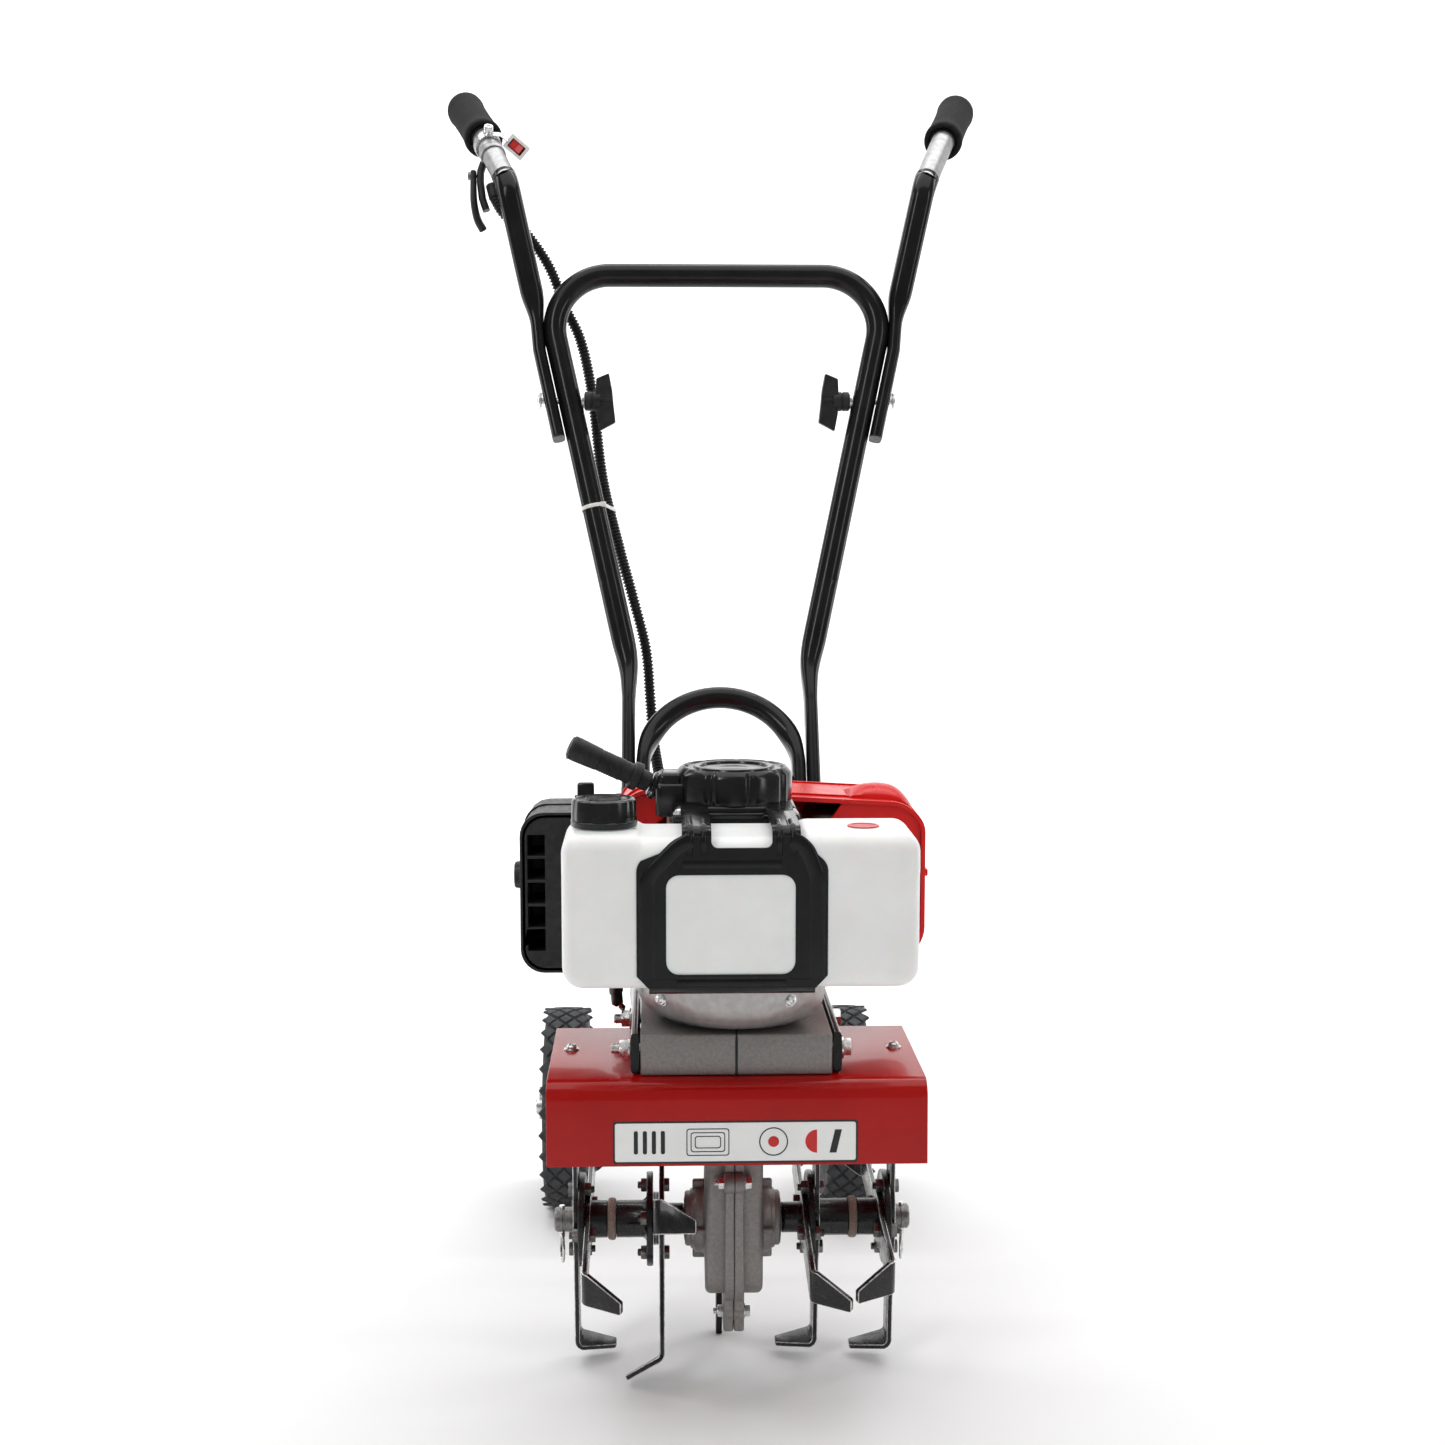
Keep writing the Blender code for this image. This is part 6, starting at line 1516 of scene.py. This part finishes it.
def make_lead():
    """Two insulated wires twisted round each other, with a plug connector on them."""
    line = smooth_line(LEAD, 320)
    for k, (label, finish) in enumerate((("black", WIRE_BLACK), ("red", WIRE_RED))):
        strand = []
        side = Vector((1, 0, 0))
        for i, point in enumerate(line):
            along = (line[min(i + 1, 319)] - line[max(i - 1, 0)]).normalized()
            side = off_axis(side, along)
            turn = math.tau * i / 30 + math.pi * k
            strand.append(point + (side * math.cos(turn) + along.cross(side) * math.sin(turn))
                          * 0.00125)
        bm = bmesh.new()
        tube(bm, strand, 0.00115, 10)
        nodes = ("stop_lead",) if k == 0 else ()
        put("stop_wire_" + label, bm, finish, "root", *nodes, sharp=60)
    bm = bmesh.new()
    at = line[88]
    along = (line[96] - line[80]).normalized()
    side = frame_of(along)[0]
    for a, b, half in ((-0.0120, 0.0015, 0.0048), (0.0015, 0.0125, 0.0040), (-0.0145, -0.0115, 0.0034)):
        sweep(bm, even([at + along * a, at + along * b], 0.003),
              lambda point, half=half: (half, half * 0.75, 6.0), 24, tuple(side))
    put("stop_connector", bm, GLOSS_PLASTIC, "root", sharp=40)


def make_controls():
    """Throttle and switch on the left bare tube, and the cables that come from them."""
    start, end = mirrored(BEND_2, -1), mirrored(ELBOW, -1)
    along = (end - start).normalized()
    make_throttle(start.lerp(end, 0.66), along)
    make_switch(start.lerp(end, 0.88), along)
    make_tie(make_conduit())
    make_lead()


# ---------------------------------------------------------------- wheels
def around(centre, x, angle, radius):
    """A point about a wheel's axis, x to the side of its centre."""
    return Vector((centre.x + x, centre.y + radius * math.cos(angle),
                   centre.z + radius * math.sin(angle)))


def diamond(bm, centre, x, angle, low, high):
    """One tread block, a flat-topped diamond on the crown."""
    base, top = [], []
    for k in range(4):
        turn = math.tau * k / 4
        for share, radius, ring in ((1.0, low - 0.0006, base), (0.80, high, top)):
            ring.append(around(centre, x + 0.0074 * share * math.cos(turn),
                               angle + 0.0094 * share * math.sin(turn) / radius, radius))
    loft(bm, [base, top])


def lug(bm, centre, edge_x, angle, outer):
    """A shoulder block between the crown and the side wall."""
    way = math.copysign(1.0, edge_x)
    base, top = [], []
    for along, x, radius in ((-1, -0.0070, outer - 0.0012), (1, -0.0070, outer - 0.0012),
                             (1, 0.0, outer - 0.0090), (-1, 0.0, outer - 0.0090)):
        wide = 0.0048 if x < -0.003 else 0.0036
        turn = angle + along * wide / radius
        base.append(around(centre, edge_x + way * (x - 0.0012), turn, radius - 0.0030))
        top.append(around(centre, edge_x + way * x, turn - along * 0.0006 / radius, radius))
    loft(bm, [base, top])


def make_wheel(label):
    """A treaded tyre on a ribbed rim."""
    body = "wheel_" + label
    low, high = span("tyre_" + label)
    centre = (low + high) / 2
    half = (high.x - low.x) / 2
    outer = (high.z - low.z) / 2
    crown = outer - 0.0022
    bm = bmesh.new()
    ring_lathe(bm, both_ways([
        (-half + 0.0060, 0.0622), (-half + 0.0040, 0.0640), (-half + 0.0012, 0.0720),
        (-half, 0.0800), (-half + 0.0004, 0.0860), (-half + 0.0030, crown - 0.0030),
        (-half + 0.0070, crown - 0.0006), (-0.0080, crown)]), centre, (1, 0, 0), 96)
    put("tyre_carcass_" + label, bm, TYRE, body, "tyre_" + label, sharp=50)
    bm = bmesh.new()
    count = 28
    for row, x in enumerate((-0.0158, -0.0079, 0.0, 0.0079, 0.0158)):
        for i in range(count):
            angle = math.tau * (i + 0.5 * (row % 2)) / count
            diamond(bm, centre, x, angle, crown, outer if abs(x) < 0.01 else outer - 0.0008)
    for edge in (-1, 1):
        for i in range(count):
            lug(bm, centre, edge * (half - 0.0018), math.tau * (i + 0.5) / count, outer - 0.0010)
    put("tyre_tread_" + label, bm, TYRE, body, sharp=30)

    bm = bmesh.new()
    ring_lathe(bm, both_ways([
        (half, 0.0083), (half, 0.0140), (half - 0.001, 0.0152), (0.0080, 0.0172), (0.0050, 0.0210),
        (0.0045, 0.0440), (0.0060, 0.0500), (0.0120, 0.0545), (0.0150, 0.0560), (0.0152, 0.0600),
        (0.0140, 0.0622)]), centre, (1, 0, 0), 72)
    put("rim_disc_" + label, bm, MATT_PLASTIC, body, "rim_" + label, sharp=35)
    bm = bmesh.new()
    for i in range(8):
        block(bm, (-0.0110, -0.0014, 0.0150), (0.0110, 0.0014, 0.0510), 0.0008, 2,
              Matrix.Translation(centre) @ Matrix.Rotation(math.tau * i / 8, 4, "X"))
    put("rim_ribs_" + label, bm, MATT_PLASTIC, body, sharp=40)


def make_wheels():
    """Both wheels, and the axle with its washers and pins."""
    make_wheel("left")
    make_wheel("right")
    low, high = span("wheel_axle")
    y, z = (low.y + high.y) / 2, (low.z + high.z) / 2
    bm = bmesh.new()
    lathe(bm, [(low.x, 0.0), (low.x, 0.0068), (low.x + 0.0012, 0.0080), (high.x - 0.0012, 0.0080),
               (high.x, 0.0068), (high.x, 0.0)], (0, y, z), (1, 0, 0), 40)
    put("axle_bar", bm, ZINC, "root", "wheel_axle", sharp=40)
    bm = bmesh.new()
    for side, end in ((-1, low.x), (1, high.x)):
        outer_face = end - side * 0.0095
        for face, way in ((outer_face, side), (outer_face - side * 0.0420, -side)):
            ring_lathe(bm, [(0.0, 0.0082), (0.0, 0.0150), (0.0014, 0.0150), (0.0014, 0.0082)],
                       (face, y, z), (way, 0, 0), 36)
        pin_x = end - side * 0.0040
        tube(bm, [(pin_x, y, z + 0.0120), (pin_x, y, z), (pin_x, y, z - 0.0125)], 0.0013, 12)
        tube(bm, [Vector((pin_x, y + 0.0032 * math.sin(a), z + 0.0150 + 0.0032 * math.cos(a)))
                  for a in (math.tau * i / 24 for i in range(25))], 0.0010, 10)
    put("axle_washers", bm, ZINC, "root", sharp=40)


# ---------------------------------------------------------------- studio
def make_lamp(name, place, aim, size, power):
    """A rectangular soft light that faces a point."""
    light = bpy.data.lights.new(name, "AREA")
    light.shape = "RECTANGLE"
    light.size, light.size_y = size
    light.energy = power
    lamp = placed(name, light)
    lamp.location = place
    lamp.rotation_euler = (Vector(aim) - Vector(place)).to_track_quat("-Z", "Y").to_euler()


def make_studio():
    """Pale floor that curves up behind, soft lights, and the camera in front of the machine."""
    ground = CAD_BOX[0][2]
    near, bend_at, bend, height, half_width = -8.0, 4.0, 2.5, 9.0, 12
    rows = [(near, ground), (bend_at, ground)]
    rows += [(bend_at + bend * math.sin(a), ground + bend - bend * math.cos(a))
             for a in (math.radians(9 * i) for i in range(1, 11))]
    rows.append((bend_at + bend, ground + height))
    bm = bmesh.new()
    ribbon(bm, rows, -half_width, half_width)
    mesh = bpy.data.meshes.new("studio_floor")
    bm.to_mesh(mesh)
    bm.free()
    mesh.shade_smooth()
    floor = placed("studio_floor", mesh)
    mesh.materials.append(surface("studio_paper", (0.86, 0.86, 0.86), (0.88, 0.88, 0.88), 0.5,
                                  (0.8, 0.9)))

    world = bpy.data.worlds.new("studio")
    bpy.context.scene.world = world
    world.use_nodes = True
    world.node_tree.nodes["Background"].inputs["Color"].default_value = (1, 1, 1, 1)
    world.node_tree.nodes["Background"].inputs["Strength"].default_value = 0.25

    target = (0, 0, 0.45)
    make_lamp("key", (-1.5, -2.3, 2.3), target, (0.5, 1.6), 19)
    make_lamp("fill", (2.3, -1.7, 1.5), target, (0.35, 1.8), 10)
    make_lamp("top", (0.0, 0.2, 3.4), (0, 0.2, 0), (4.5, 4.0), 95)
    make_lamp("rim_left", (-2.3, 0.9, 1.1), target, (0.4, 2.4), 14)
    make_lamp("rim_right", (2.3, 1.1, 1.1), target, (0.4, 2.4), 14)
    make_lamp("backdrop_light", (0.0, 2.2, 4.6), (0, 6.5, 1.6), (7.0, 1.5), 420)

    camera = bpy.data.cameras.new("camera")
    camera.lens = 49.8
    camera.sensor_width = 36.0
    camera.clip_end = 100.0
    eye = placed("camera", camera)
    eye.location = HOME + Vector(CAMERA_PLACE)
    eye.rotation_euler = (math.radians(90 - CAMERA_DOWN), 0, math.radians(-CAMERA_RIGHT))
    bpy.context.scene.camera = eye
    bpy.context.scene.view_settings.view_transform = "Standard"


make_studio()
make_tines()
make_gearbox()
make_fender()
make_frame()
make_handlebars()
make_fan_housing()
make_engine_core()
make_shroud()
make_filter()
make_tank()
make_guard()
make_recoil()
make_starter_pull()
make_controls()
make_wheels()
